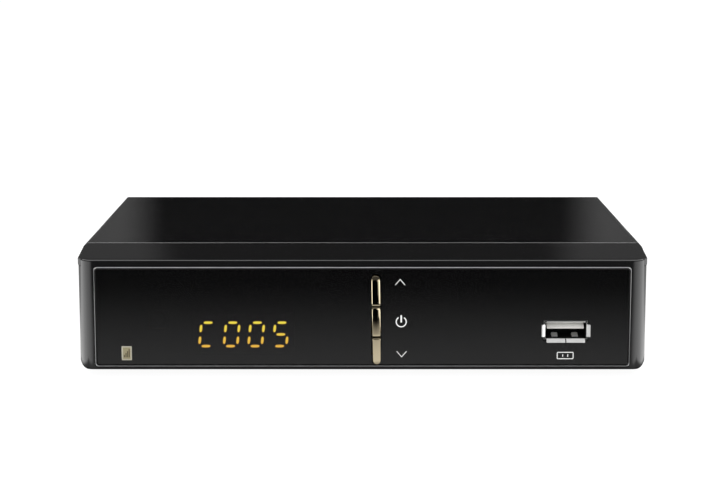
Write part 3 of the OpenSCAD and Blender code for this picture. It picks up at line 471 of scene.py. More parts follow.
@dataclass(frozen=True)
class BoardFinish(Finish):
    """Circuit board laminate with copper tracks under its lacquer.

    Attributes:
        track: colour of the tracks.
        track_scale: how close they run, per metre.
        track_edge: where in the pattern a track begins and is full.
        track_wander: how far they stray from a straight run.
    """

    track: Colour = (0.05, 0.22, 0.09)
    track_scale: float = 260.0
    track_edge: Point = (0.62, 0.7)
    track_wander: float = 6.0

    def tint(self, wiring: Wiring, colour: Socket) -> Socket:
        """Lays the tracks over the laminate.

        Args:
            wiring: the material's nodes.
            colour: the drifting colour of the laminate.

        Returns:
            The colour that goes into the shader.
        """
        feeds = {"Vector": wiring.place(), "Scale": self.track_scale, "Distortion": self.track_wander}
        bands = wiring.add("ShaderNodeTexWave", feeds, bands_direction="DIAGONAL").outputs["Fac"]
        mask = wiring.ramp(bands, *self.track_edge)
        return wiring.mix(mask, colour, (*self.track, 1.0))


GLOSS_BLACK = Finish(
    "gloss_black", (0.0022, 0.0022, 0.0024), 0.06, "gloss_black", colour_drift=0.25, roughness_drift=0.02,
    drift_scale=60.0, worn=(0.006, 0.006, 0.0062),
)
BEZEL_BLACK = Finish(
    "bezel_black", (0.0085, 0.0085, 0.0088), 0.06, "gloss_black", colour_drift=0.2, roughness_drift=0.02,
    drift_scale=60.0, worn=(0.014, 0.014, 0.0145),
)
SATIN_BLACK = Finish(
    "satin_black", (0.022, 0.022, 0.023), 0.42, "satin_black", colour_drift=0.15, roughness_drift=0.05,
    drift_scale=200.0, grain_scale=5200.0, grain_depth=0.02, worn=(0.05, 0.05, 0.052),
)
WINDOW_ACRYLIC = ClearFinish(
    "window_acrylic", (0.1, 0.1, 0.102), 0.02, "window_acrylic", colour_drift=0.05, roughness_drift=0.008,
    drift_scale=80.0, clearness=0.96,
)
WINDOW_REAR = ClearFinish(
    "window_rear", (0.1, 0.1, 0.102), 0.02, colour_drift=0.05, roughness_drift=0.008, drift_scale=80.0,
    index=1.0,
)
# Pale grey on the dark window's bevel: a painted highlight standing in for the light that a polished edge
# catches.
WINDOW_EDGE_HIGHLIGHT = Finish(
    "window_edge_painted_highlight", (0.8, 0.8, 0.81), 0.22, "window_acrylic", colour_drift=0.1, roughness_drift=0.04,
    drift_scale=300.0,
)
BORDER_BLACK = Finish(
    "border_black", (0.0012, 0.0012, 0.0012), 0.85, colour_drift=0.2, roughness_drift=0.05,
    drift_scale=900.0, grain_scale=6000.0, grain_depth=0.004,
)
PANEL_BLACK = Finish(
    "panel_black", (0.021, 0.021, 0.022), 0.5, "panel_black", colour_drift=0.2, roughness_drift=0.06,
    drift_scale=300.0, grain_scale=3000.0, grain_depth=0.035, worn=(0.12, 0.12, 0.125),
)
FOOT_RUBBER = Finish(
    "foot_rubber", (0.013, 0.013, 0.013), 0.75, "foot_rubber", colour_drift=0.2, roughness_drift=0.08,
    drift_scale=350.0, grain_scale=2600.0, grain_depth=0.04,
)
SCREW_STEEL = Finish(
    "screw_steel", (0.5, 0.5, 0.5), 0.3, "screw_steel", colour_drift=0.15, roughness_drift=0.08,
    drift_scale=700.0, metallic=1.0, worn=(0.75, 0.75, 0.74),
)
KEY_CHROME = Finish(
    "key_chrome", (0.9, 0.77, 0.53), 0.06, "key_chrome", colour_drift=0.03, roughness_drift=0.02,
    drift_scale=260.0, metallic=1.0,
)
PLATE_CHAMPAGNE = Finish(
    "plate_champagne", (0.84, 0.8, 0.66), 0.34, "plate_champagne", colour_drift=0.12, roughness_drift=0.08,
    drift_scale=500.0, stretch=(1.0, 1.0, 14.0), grain_scale=1500.0, grain_depth=0.01, metallic=0.75,
)
PLATE_FIELD = Finish(
    "plate_field", (0.56, 0.5, 0.31), 0.34, colour_drift=0.2, roughness_drift=0.08, drift_scale=700.0,
    stretch=(1.0, 1.0, 14.0), grain_scale=1500.0, grain_depth=0.01, metallic=0.75,
)
# Matt black for the port's inner sheet and for the front edge of its shell: painted shade in the port's
# hollow.
PORT_SHADE_BLACK = Finish(
    "port_shade_black", (0.004, 0.004, 0.004), 0.6, specular=0.2, grain_scale=4000.0, grain_depth=0.01,
)
PORT_TIN = Finish(
    "port_tin", (0.85, 0.85, 0.84), 0.2, "socket_tin", colour_drift=0.08, roughness_drift=0.06,
    drift_scale=500.0, metallic=0.45,
)
# A paler, barely metallic copy of the shell's tin for the spring tabs: painted light that lifts them out of
# the port's dark inside.
TAB_TIN_PAINTED_LIGHT = Finish(
    "tab_tin_painted_light", (0.7, 0.7, 0.7), 0.5, colour_drift=0.1, roughness_drift=0.08, drift_scale=600.0,
    metallic=0.2,
)
# Darker bronze for the raised bars: partly their own colour, partly painted shade standing in for the
# relief's shading.
PLATE_MARK_AND_SHADE = Finish(
    "plate_mark_and_shade", (0.16, 0.13, 0.08), 0.4, colour_drift=0.2, roughness_drift=0.08, drift_scale=500.0,
    metallic=0.75,
)
INK_WHITE = Finish(
    "ink_white", (0.93, 0.93, 0.92), 0.5, colour_drift=0.05, roughness_drift=0.05, drift_scale=900.0,
    grain_scale=6000.0, grain_depth=0.004,
)
SWITCH_GREY = Finish(
    "switch_grey", (0.22, 0.23, 0.24), 0.5, "switch_grey", grain_scale=4000.0, grain_depth=0.01,
)
PLUNGER_BLACK = Finish(
    "plunger_black", (0.02, 0.02, 0.02), 0.45, "plunger_black", grain_scale=4000.0, grain_depth=0.01,
)
BOARD_TAN = BoardFinish(
    "board_tan", (0.3, 0.18, 0.065), 0.5, "board_tan", colour_drift=0.2, roughness_drift=0.06,
    drift_scale=400.0, track=(0.42, 0.2, 0.07),
)
BOARD_GREEN = BoardFinish(
    "board_green", (0.015, 0.11, 0.045), 0.3, "board_green", colour_drift=0.15, roughness_drift=0.06,
    drift_scale=400.0,
)
MODULE_BLACK = Finish("module_black", (0.0022, 0.0022, 0.0022), 0.8, "module_black", specular=0.05)
SEGMENT_AMBER = GlowFinish("segment_amber", (0.5, 0.34, 0.08), 0.5, "segment_amber", strength=10.0)
EYE_DARK = Finish("eye_dark", (0.004, 0.002, 0.002), 0.3, "eye_dark", specular=0.05)
HEADER_IVORY = Finish("header_ivory", (0.74, 0.7, 0.58), 0.45, "header_ivory")
RIBBON_GREY = Finish("ribbon_grey", (0.5, 0.5, 0.48), 0.4, "ribbon_grey", stretch=(9.0, 1.0, 1.0))
SOCKET_TIN = Finish(
    "socket_tin", (0.8, 0.8, 0.79), 0.14, "socket_tin", colour_drift=0.08, roughness_drift=0.06,
    drift_scale=500.0, metallic=1.0,
)
TONGUE_WHITE = Finish(
    "tongue_white", (0.8, 0.79, 0.76), 0.38, "tongue_white", colour_drift=0.06, roughness_drift=0.05,
    drift_scale=400.0,
)
CONTACT_GOLD = Finish("contact_gold", (0.86, 0.6, 0.24), 0.2, "contact_gold", metallic=1.0)
CAN_TIN = Finish(
    "can_tin", (0.55, 0.56, 0.57), 0.38, "can_tin", colour_drift=0.18, roughness_drift=0.1, drift_scale=180.0,
    metallic=1.0, grain_scale=900.0, grain_depth=0.01,
)
SOCKET_NICKEL = Finish(
    "socket_nickel", (0.68, 0.65, 0.58), 0.18, "socket_nickel", colour_drift=0.08, roughness_drift=0.06,
    drift_scale=500.0, metallic=1.0,
)
INSULATOR_WHITE = Finish("insulator_white", (0.78, 0.77, 0.72), 0.4, "insulator_white", colour_drift=0.06)
BLOCK_BLACK = Finish(
    "block_black", (0.018, 0.018, 0.018), 0.4, "block_black", grain_scale=4000.0, grain_depth=0.012,
    worn=(0.04, 0.04, 0.04),
)
JACK_YELLOW = Finish("jack_yellow", (0.72, 0.47, 0.02), 0.32, "jack_yellow", colour_drift=0.07)
JACK_WHITE = Finish("jack_white", (0.76, 0.76, 0.72), 0.32, "jack_white", colour_drift=0.05)
JACK_RED = Finish("jack_red", (0.45, 0.018, 0.015), 0.32, "jack_red", colour_drift=0.08)
JACK_ORANGE = Finish("jack_orange", (0.62, 0.15, 0.015), 0.32, "jack_orange", colour_drift=0.08)
CHIP_BLACK = Finish(
    "chip_black", (0.016, 0.016, 0.017), 0.55, "chip_black", grain_scale=5000.0, grain_depth=0.012,
)
PAD_GREY = Finish("pad_grey", (0.3, 0.4, 0.5), 0.8, "pad_grey", grain_scale=2500.0, grain_depth=0.02)
SINK_ALUMINIUM = Finish(
    "sink_aluminium", (0.5, 0.52, 0.54), 0.35, "sink_aluminium", colour_drift=0.12, roughness_drift=0.1,
    drift_scale=300.0, stretch=(1.0, 0.06, 1.0), grain_scale=2400.0, grain_depth=0.012, metallic=1.0,
)
CRYSTAL_STEEL = Finish("crystal_steel", (0.62, 0.62, 0.62), 0.25, "crystal_steel", metallic=1.0)
CAPACITOR_BLUE = Finish("capacitor_blue", (0.015, 0.03, 0.085), 0.3, "capacitor_blue", coat=0.2)
INDUCTOR_GREY = Finish(
    "inductor_grey", (0.04, 0.04, 0.04), 0.7, "inductor_grey", grain_scale=3000.0, grain_depth=0.03,
)


WELD = 2e-6
FLAT = math.radians(0.3)
CORNER = math.radians(32.0)
FACE_WEIGHT = 100
ROUND_PROFILE = 0.5
FINE_STEPS = 2
ROUND_STEPS = 4

EdgeRule = Callable[[bmesh.types.BMEdge], bool]
FaceRule = Callable[[bpy.types.MeshPolygon], bool]
Shaper = Callable[[bmesh.types.BMesh], None]


@dataclass(frozen=True)
class Rounding:
    """How the edges of a CAD solid are eased in its dressed copy.

    Attributes:
        radius: radius in millimetres.
        steps: faces across the rounding.
        rule: says which edges are eased; None takes every sharp outward edge.
    """

    radius: float
    steps: int = 3
    rule: EdgeRule | None = None


def is_sharp(edge: bmesh.types.BMEdge) -> bool:
    """Says whether an edge is a sharp outward one."""
    return edge.is_manifold and edge.is_convex and edge.calc_face_angle() > CORNER


def link(name: str, data: bpy.types.ID) -> bpy.types.Object:
    """Puts a mesh, a lamp or a camera into the scene.

    Args:
        name: name of the object.
        data: what it carries.

    Returns:
        The object.
    """
    carrier = bpy.data.objects.new(name, data)
    bpy.context.scene.collection.objects.link(carrier)
    return carrier


def freed_mesh(shape: bmesh.types.BMesh, name: str) -> bpy.types.Mesh:
    """Turns a shape into a mesh as it is.

    Args:
        shape: the shape, which is used up.
        name: name of the mesh.

    Returns:
        The mesh.
    """
    mesh = bpy.data.meshes.new(name)
    shape.to_mesh(mesh)
    shape.free()
    return mesh


def settle_normals(mesh: bpy.types.Mesh, name: str) -> bpy.types.Mesh:
    """Shades a mesh smoothly, with its flat faces kept flat.

    Args:
        mesh: the mesh, which is used up.
        name: name of the result.

    Returns:
        The shaded mesh.
    """
    mesh.shade_smooth()
    mesh.set_sharp_from_angle(angle=CORNER)
    carrier = link(name, mesh)
    modifier = carrier.modifiers.new("normals", "WEIGHTED_NORMAL")
    modifier.mode = "FACE_AREA"
    modifier.weight = FACE_WEIGHT
    modifier.keep_sharp = True
    graph = bpy.context.evaluated_depsgraph_get()
    result = bpy.data.meshes.new_from_object(carrier.evaluated_get(graph))
    bpy.data.objects.remove(carrier)
    bpy.data.meshes.remove(mesh)
    result.name = name
    return result


def merged_copy(node: str) -> bmesh.types.BMesh:
    """Copies a CAD solid with its points merged and its flat faces joined.

    Args:
        node: name of the CAD node.

    Returns:
        The copy, in metres.
    """
    shape = bmesh.new()
    shape.from_mesh(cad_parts[node].data)
    bmesh.ops.remove_doubles(shape, verts=shape.verts, dist=WELD)
    bmesh.ops.dissolve_limit(shape, angle_limit=FLAT, verts=shape.verts, edges=shape.edges)
    return shape


def eased_copy(node: str, roundings: Iterable[Rounding], shaper: Shaper | None = None) -> bpy.types.Mesh:
    """Copies a CAD solid with its edges eased.

    Args:
        node: name of the CAD node.
        roundings: the roundings, in the order in which they are cut.
        shaper: changes the merged copy before that.

    Returns:
        The mesh of the copy.
    """
    shape = merged_copy(node)
    if shaper:
        shaper(shape)
    for rounding in roundings:
        rule = rounding.rule or is_sharp
        bmesh.ops.bevel(
            shape,
            geom=[edge for edge in shape.edges if rule(edge)],
            offset=rounding.radius * MM,
            offset_type="OFFSET",
            segments=rounding.steps,
            profile=ROUND_PROFILE,
            affect="EDGES",
            clamp_overlap=rounding.rule is None,
        )
    low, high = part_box(node)
    for vert in shape.verts:
        vert.co = [min(max(place, least), most) for place, least, most in zip(vert.co, low, high)]
    return settle_normals(freed_mesh(shape, node), f"{node}_dressed")


class SubAssembly:
    """What every sub-assembly of the box can do: place its pieces on a body with their finish."""

    def build(self) -> None:
        """Builds and dresses the pieces."""
        raise NotImplementedError

    def place(
        self,
        mesh: bpy.types.Mesh,
        name: str,
        finish: Finish,
        body: Body = Body.CASE,
        stands_for: Sequence[str] = (),
    ) -> bpy.types.Object:
        """Makes a mesh a piece of the box.

        Args:
            mesh: the mesh, in its place.
            name: name of the piece.
            finish: its finish.
            body: the body that it rides on.
            stands_for: CAD nodes that it replaces.

        Returns:
            The piece.
        """
        piece = link(name, mesh)
        mesh.materials.clear()
        mesh.materials.append(finish.material())
        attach(piece, body.value)
        if stands_for:
            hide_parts(*stands_for)
        LOG.info("%s: %d faces, rides on %s", name, len(mesh.polygons), body.value)
        return piece

    def dress(
        self,
        node: str,
        finish: Finish,
        *roundings: Rounding,
        body: Body = Body.CASE,
        shaper: Shaper | None = None,
    ) -> bpy.types.Object:
        """Puts an eased copy of a CAD solid in its place.

        Args:
            node: name of the CAD node.
            finish: its finish.
            roundings: how its edges are eased.
            body: the body that it rides on.
            shaper: changes the copy before its edges are eased.

        Returns:
            The piece.
        """
        return self.place(eased_copy(node, roundings, shaper), f"{node}_dressed", finish, body, (node,))

    def repaint(self, piece: bpy.types.Object, finish: Finish, rule: FaceRule) -> None:
        """Gives some faces of a piece a finish of their own.

        Args:
            piece: the piece.
            finish: their finish.
            rule: says which faces they are.
        """
        piece.data.materials.append(finish.material())
        for face in piece.data.polygons:
            if rule(face):
                face.material_index = len(piece.data.materials) - 1


def to_mesh(shape: bmesh.types.BMesh, name: str, unit: float = MM) -> bpy.types.Mesh:
    """Turns a finished shape into a closed mesh in metres.

    Args:
        shape: the shape, which is used up.
        name: name of the mesh.
        unit: the shape's unit of length in metres.

    Returns:
        The mesh.
    """
    bmesh.ops.remove_doubles(shape, verts=shape.verts, dist=WELD)
    bmesh.ops.recalc_face_normals(shape, faces=shape.faces)
    bmesh.ops.scale(shape, vec=(unit,) * 3, verts=shape.verts)
    return freed_mesh(shape, name)


def add_prism(shape: bmesh.types.BMesh, outline: Sequence[Point], near: float, far: float) -> None:
    """Adds a flat outline in x and z, given a thickness along y.

    Args:
        shape: the shape that it is added to.
        outline: the corners in order.
        near: y of the front side.
        far: y of the rear side.
    """
    front = [shape.verts.new((x, near, z)) for x, z in outline]
    rear = [shape.verts.new((x, far, z)) for x, z in outline]
    shape.faces.new(front)
    shape.faces.new(list(reversed(rear)))
    for i, vert in enumerate(front):
        j = (i + 1) % len(front)
        shape.faces.new((vert, rear[i], rear[j], front[j]))


def stroke_outline(path: Sequence[Point], width: float, cap_steps: int = 6) -> list[Point]:
    """Draws a line of even width with round ends.

    Args:
        path: the points of its middle line.
        width: width of the line.
        cap_steps: faces of each round end.

    Returns:
        The closed outline.
    """
    points = [Vector(point) for point in path]
    runs = [(after - before).normalized() for before, after in zip(points, points[1:])]
    half = width / 2
    sides: list[list[Vector]] = [[], []]
    for i, point in enumerate(points):
        before = runs[max(i - 1, 0)]
        after = runs[min(i, len(runs) - 1)]
        lean = (before + after).normalized()
        across = Vector((-lean.y, lean.x))
        reach = half / max(across.dot(Vector((-after.y, after.x))), TINY)
        sides[0].append(point + across * reach)
        sides[1].append(point - across * reach)
    outline = list(sides[0])
    for end, start in ((points[-1], sides[0][-1]), (points[0], sides[1][0])):
        if end is points[0]:
            outline.extend(reversed(sides[1]))
        arm = start - end
        for step in range(1, cap_steps):
            outline.append(end + Matrix.Rotation(-math.pi * step / cap_steps, 2) @ arm)
    return [(point.x, point.y) for point in outline]


def arc(centre: Point, radius: float, start: float, end: float, steps: int) -> list[Point]:
    """Gives the points of an arc.

    Args:
        centre: its middle.
        radius: its radius.
        start: first angle in degrees.
        end: last angle in degrees.
        steps: number of runs.

    Returns:
        The points in order.
    """
    angles = [math.radians(start + (end - start) * step / steps) for step in range(steps + 1)]
    return [(centre[0] + radius * math.cos(a), centre[1] + radius * math.sin(a)) for a in angles]


def rounded_outline(centre: Point, half: Point, radius: float, steps: int) -> list[Point]:
    """Gives the outline of a rectangle with round corners.

    Args:
        centre: its middle.
        half: half its width and half its height.
        radius: radius of the corners.
        steps: runs of each corner.

    Returns:
        The points in order.
    """
    x, z = half[0] - radius, half[1] - radius
    points = []
    for corner, (across, up) in enumerate(((x, z), (-x, z), (-x, -z), (x, -z))):
        turn = corner * QUARTER_TURN
        points += arc((centre[0] + across, centre[1] + up), radius, turn, turn + QUARTER_TURN, steps)
    return points


def add_ring(shape: bmesh.types.BMesh, loops: Sequence[tuple[Sequence[Point], float]]) -> None:
    """Adds a closed ring whose skin runs from loop to loop and back to the first.

    Args:
        shape: the shape that it is added to.
        loops: outlines in x and z with as many points each, and the y of each.
    """
    rings = [[shape.verts.new((x, y, z)) for x, z in outline] for outline, y in loops]
    for first, second in zip(rings, (*rings[1:], rings[0])):
        for i, vert in enumerate(first):
            j = (i + 1) % len(first)
            shape.faces.new((vert, first[j], second[j], second[i]))


class Copies:
    """Geometry Nodes trees for what repeats or winds, each built once."""

    RIDGE_SIDES = 4
    ALONG_Y = (-math.pi / 2, 0.0, 0.0)

    @staticmethod
    def close(wiring: Wiring, made: Socket, finish: Socket, target: Socket) -> bpy.types.NodeTree:
        """Ends a tree: makes its copies real and gives them their finish.

        Args:
            wiring: the tree's nodes.
            made: the geometry so far.
            finish: the input with the material.
            target: the tree's way out.

        Returns:
            The tree.
        """
        real = wiring.add("GeometryNodeRealizeInstances", {"Geometry": made}).outputs[0]
        dressed = wiring.add("GeometryNodeSetMaterial", {"Geometry": real, "Material": finish}).outputs[0]
        wiring.join(dressed, target)
        return wiring.tree

    @classmethod
    @cache
    def row(cls) -> bpy.types.NodeTree:
        """Makes the tree that sets copies of a small part in a straight row.

        Returns:
            The tree.
        """
        wiring, entry, way_out = new_group(
            "copies_in_a_row",
            {
                "Part": OBJECT_SOCKET,
                "Count": COUNT_SOCKET,
                "Start": VECTOR_SOCKET,
                "Step": VECTOR_SOCKET,
                "Turn": VECTOR_SOCKET,
                "Finish": FINISH_SOCKET,
            },
            {"Geometry": SHAPE_SOCKET},
            GroupKind.SHAPE,
        )
        line_feeds = {"Count": entry["Count"], "Start Location": entry["Start"], "Offset": entry["Step"]}
        line = wiring.add("GeometryNodeMeshLine", line_feeds, mode="OFFSET")
        part = wiring.add("GeometryNodeObjectInfo", {"Object": entry["Part"]}, transform_space="ORIGINAL")
        shape = part.outputs["Geometry"]
        put_feeds = {"Points": line.outputs[0], "Instance": shape, "Rotation": entry["Turn"]}
        put = wiring.add("GeometryNodeInstanceOnPoints", put_feeds)
        return cls.close(wiring, put.outputs[0], entry["Finish"], way_out["Geometry"])

    @classmethod
    @cache
    def thread(cls) -> bpy.types.NodeTree:
        """Makes the tree that winds the ridge of a screw thread round an axis along y.

        Returns:
            The tree.
        """
        wiring, entry, way_out = new_group(
            "screw_thread",
            {
                "Turns": FLOAT_SOCKET,
                "Runs": COUNT_SOCKET,
                "Radius": FLOAT_SOCKET,
                "Length": FLOAT_SOCKET,
                "Ridge": FLOAT_SOCKET,
                "Start": VECTOR_SOCKET,
                "Finish": FINISH_SOCKET,
            },
            {"Geometry": SHAPE_SOCKET},
            GroupKind.SHAPE,
        )
        feeds = {
            "Resolution": entry["Runs"],
            "Rotations": entry["Turns"],
            "Start Radius": entry["Radius"],
            "End Radius": entry["Radius"],
            "Height": entry["Length"],
        }
        spiral = wiring.add("GeometryNodeCurveSpiral", feeds).outputs[0]
        level = wiring.add("GeometryNodeSetCurveNormal", {"Curve": spiral}, mode="Z_UP").outputs[0]
        lie_feeds = {"Geometry": level, "Translation": entry["Start"], "Rotation": cls.ALONG_Y}
        lying = wiring.add("GeometryNodeTransform", lie_feeds).outputs[0]
        ridge_feeds = {"Resolution": cls.RIDGE_SIDES, "Radius": entry["Ridge"]}
        ridge = wiring.add("GeometryNodeCurvePrimitiveCircle", ridge_feeds).outputs[0]
        skin_feeds = {"Curve": lying, "Profile Curve": ridge, "Fill Caps": True}
        skin = wiring.add("GeometryNodeCurveToMesh", skin_feeds).outputs[0]
        return cls.close(wiring, skin, entry["Finish"], way_out["Geometry"])


def grow(tree: bpy.types.NodeTree, values: Iterable[Mapping[str, object]], name: str) -> bpy.types.Mesh:
    """Runs a Geometry Nodes tree once for each set of inputs and joins the results in one plain mesh.

    Args:
        tree: the tree.
        values: sets of the tree's inputs by name.
        name: name of the mesh.

    Returns:
        The mesh.
    """
    labels = {item.name: item.identifier for item in tree.interface.items_tree if item.in_out == "INPUT"}
    joined = bmesh.new()
    for inputs in values:
        carrier = bpy.data.objects.new(name, bpy.data.meshes.new(name))
        modifier = carrier.modifiers.new("copies", "NODES")
        modifier.node_group = tree
        for label, value in inputs.items():
            modifier[labels[label]] = value
        bpy.context.scene.collection.objects.link(carrier)
        graph = bpy.context.evaluated_depsgraph_get()
        made = bpy.data.meshes.new_from_object(carrier.evaluated_get(graph))
        carrier.modifiers.remove(modifier)
        bpy.data.objects.remove(carrier)
        joined.from_mesh(made)
        bpy.data.meshes.remove(made)
    return to_mesh(joined, name, 1.0)


@dataclass
class CaseShells(SubAssembly):
    """The two shells of the case, its feet and its screws."""

    edge_round: float = 0.25
    lower_round: float = 0.25
    fold_y: float = -44.8
    fold_reach: float = 0.8
    fold_steps: int = 4
    fold_slope: float = 2.3 / 18
    skin_lean: float = 0.98
    skin_low: float = 35.5
    least_area: float = 1.0
    foot_round: float = 0.5
    screw_round: float = 0.12
    near: float = 0.06

    def build(self) -> None:
        """Builds and dresses the shells, feet and screws."""
        outer = Rounding(self.edge_round, rule=self.is_outer)
        self.dress("top_shell", GLOSS_BLACK, outer, shaper=self.soften_fold)
        self.dress("bottom_shell", SATIN_BLACK, Rounding(self.lower_round))
        self.dress("rubber_feet", FOOT_RUBBER, Rounding(self.foot_round, ROUND_STEPS))
        self.dress("case_screws", SCREW_STEEL, Rounding(self.screw_round))

    def is_outer(self, edge: bmesh.types.BMEdge) -> bool:
        """Says whether a sharp edge of the upper shell lies on its outer skin.

        Args:
            edge: the edge.

        Returns:
            True on the outer skin.
        """
        if not is_sharp(edge):
            return False
        places = [vert.co / MM for vert in edge.verts]
        on_side = all(abs(place.x) > CASE_SIDE - self.near for place in places)
        on_roof = all(place.z > SHELL_TOP - self.near for place in places)
        return on_side or on_roof

    def soften_fold(self, shape: bmesh.types.BMesh) -> None:
        """Rounds the fold between the brow and the roof.

        Args:
            shape: the merged copy of the upper shell.
        """
        span = 2 * self.fold_reach
        start = self.fold_y - self.fold_reach
        for step in range(self.fold_steps + 1):
            skin = self.skin(shape)
            edges = {edge for face in skin for edge in face.edges}
            verts = {vert for face in skin for vert in face.verts}
            y = start + span * step / self.fold_steps
            if abs(y - self.fold_y) > self.near:
                bmesh.ops.bisect_plane(
                    shape, geom=[*verts, *edges, *skin], plane_co=(0.0, y * MM, 0.0), plane_no=(0.0, 1.0, 0.0)
                )
        for vert in {vert for face in self.skin(shape) for vert in face.verts}:
            back = vert.co.y / MM - start
            if 0.0 < back < span:
                bow = self.fold_slope * (span - back) ** 2 / (2 * span)
                vert.co.z = min(vert.co.z, (SHELL_TOP - bow) * MM)

    def skin(self, shape: bmesh.types.BMesh) -> list[bmesh.types.BMFace]:
        """Finds the wide faces of the outer skin of the brow and the roof.

        Args:
            shape: the merged copy of the upper shell.

        Returns:
            The faces.
        """
        return [
            face
            for face in shape.faces
            if face.normal.z > self.skin_lean
            and all(vert.co.z > self.skin_low * MM for vert in face.verts)
            and face.calc_area() > self.least_area * MM**2
        ]


class Sign(Enum):
    """Signs printed on the window."""

    UP = "channel_up_sign"
    STANDBY = "standby_sign"
    DOWN = "channel_down_sign"
    PORT = "port_sign"


@dataclass
class FrontPanel(SubAssembly):
    """The bezel, the window with its printed signs and the small plate."""

    rim_round: float = 0.32
    rim_steps: int = 5
    rim_drop: float = 1.3
    rim_depth: float = 1.59
    lower_round: float = 0.6
    lower_rise: float = 0.05
    corner_rise: float = 3.1
    corner_reach: float = 4.2
    lower_depth: float = 4.95
    plate_round: float = 0.08
    sunk_share: float = 0.25
    ink: float = 0.02
    stroke: float = 0.2
    chevron_x: Point = (11.2, 11.7)
    chevron_half: float = 1.4
    chevron_rise: float = 1.65
    up_z: float = 29.2
    down_z: float = 7.25
    standby_at: Point = (11.55, 17.15)
    standby_r: float = 1.5
    standby_gap: float = 38.0
    standby_bar: Point = (0.0, 1.8)
    standby_stroke: Point = (0.34, 0.5)
    arc_steps: int = 30
    port_sign_at: Point = (60.65, 6.85)
    port_sign_half: Point = (2.5, 1.1)
    port_sign_r: float = 0.35
    port_sign_stroke: float = 0.25
    pin_half: float = 0.26
    pin_x: float = 0.75
    plate_at: Point = (-70.5, 7.6)
    relief_bars: tuple[float, ...] = (0.7, 1.3, 1.9, 2.5)
    relief_pitch: float = 0.48
    relief_w: float = 0.3
    relief_proud: float = 0.06
    bevel_lean: float = 0.15
    rear_lean: float = 0.9
    window_r: float = 1.0
    border: Triple = (0.2, 0.4, 0.72)
    border_ink: float = 0.025
    corner_steps: int = 8

    def build(self) -> None:
        """Builds and dresses the front."""
        upper = Rounding(self.rim_round, self.rim_steps, self.is_upper_rim)
        lower = Rounding(self.lower_round, self.rim_steps, self.is_lower_rim)
        self.dress("front_bezel", BEZEL_BLACK, upper, lower)
        self.build_window()
        self.build_plate()
        self.build_relief()
        self.build_border()
        for sign in Sign:
            self.build_sign(sign)

    def is_upper_rim(self, edge: bmesh.types.BMEdge) -> bool:
        """Says whether a sharp edge runs along the bezel's upper rim.

        Args:
            edge: the edge.

        Returns:
            True on the upper rim.
        """
        places = [vert.co / MM for vert in edge.verts]
        high = all(place.z > BEZEL_TOP - self.rim_drop for place in places)
        return high and all(place.y < FRONT_Y + self.rim_depth for place in places) and is_sharp(edge)

    def is_lower_rim(self, edge: bmesh.types.BMEdge) -> bool:
        """Says whether a sharp edge runs along the bezel's lower rim or round its lower corners.

        Args:
            edge: the edge.

        Returns:
            True on the lower rim.
        """
        for place in (vert.co / MM for vert in edge.verts):
            at_corner = abs(place.x) > CASE_SIDE - self.corner_reach
            rise = self.corner_rise if at_corner else self.lower_rise
            if place.z >= CASE_LOW + rise or place.y >= FRONT_Y + self.lower_depth:
                return False
        return is_sharp(edge)

    def build_window(self) -> None:
        """Copies the window, with a pale painted highlight on its polished bevel and no gloss on its rear."""
        window = self.dress("display_window", WINDOW_ACRYLIC)
        # The bevel's pale finish is a painted highlight.
        self.repaint(window, WINDOW_EDGE_HIGHLIGHT, self.is_bevel)
        self.repaint(window, WINDOW_REAR, lambda face: face.normal.y > self.rear_lean)

    def is_bevel(self, face: bpy.types.MeshPolygon) -> bool:
        """Says whether a face of the window belongs to its polished bevel."""
        sideways = math.hypot(face.normal.x, face.normal.z)
        return face.normal.y < -self.bevel_lean and sideways > self.bevel_lean

    def build_border(self) -> None:
        """Prints the dark line that runs inside the window's polished edge and onto its bevel."""
        low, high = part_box("display_window")
        middle = (low + high) / 2 / MM
        half = (high - low) / 2 / MM
        start, fold, end = self.border
        skin = [(start, FRONT_Y + fold - start), (fold, FRONT_Y), (end, FRONT_Y)]
        section = [(inset, y - self.border_ink) for inset, y in skin]
        section += [(inset, y + self.border_ink) for inset, y in reversed(skin)]
        loops = []
        for inset, y in section:
            size = (half.x - inset, half.z - inset)
            radius = self.window_r - inset
            loops.append((rounded_outline((middle.x, middle.z), size, radius, self.corner_steps), y))
        shape = bmesh.new()
        add_ring(shape, loops)
        self.place(to_mesh(shape, "window_border"), "window_border", BORDER_BLACK)

    def build_plate(self) -> None:
        """Copies the small plate, with a darker finish on the field inside its rim."""
        plate = self.dress("champagne_plate", PLATE_CHAMPAGNE, Rounding(self.plate_round, FINE_STEPS))
        low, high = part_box("champagne_plate")
        depth = low.y + (high.y - low.y) * self.sunk_share
        self.repaint(
            plate, PLATE_FIELD, lambda face: face.center.y > depth and face.normal.y < -self.rear_lean
        )

    def build_relief(self) -> None:
        """Raises a row of rising bars on the plate, in a darker finish that is partly their own colour and
        partly painted shade of the relief.
        """
        low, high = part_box("champagne_plate")
        front = (low.y + high.y) / 2 / MM
        shape = bmesh.new()
        tallest = max(self.relief_bars)
        start = self.plate_at[0] - self.relief_pitch * (len(self.relief_bars) - 1) / 2
        foot = self.plate_at[1] - tallest / 2
        for i, tall in enumerate(self.relief_bars):
            x = start + i * self.relief_pitch
            half = self.relief_w / 2
            outline = [(x - half, foot), (x + half, foot), (x + half, foot + tall), (x - half, foot + tall)]
            add_prism(shape, outline, front - self.relief_proud, front + self.ink)
        self.place(to_mesh(shape, "plate_relief"), "plate_relief", PLATE_MARK_AND_SHADE)

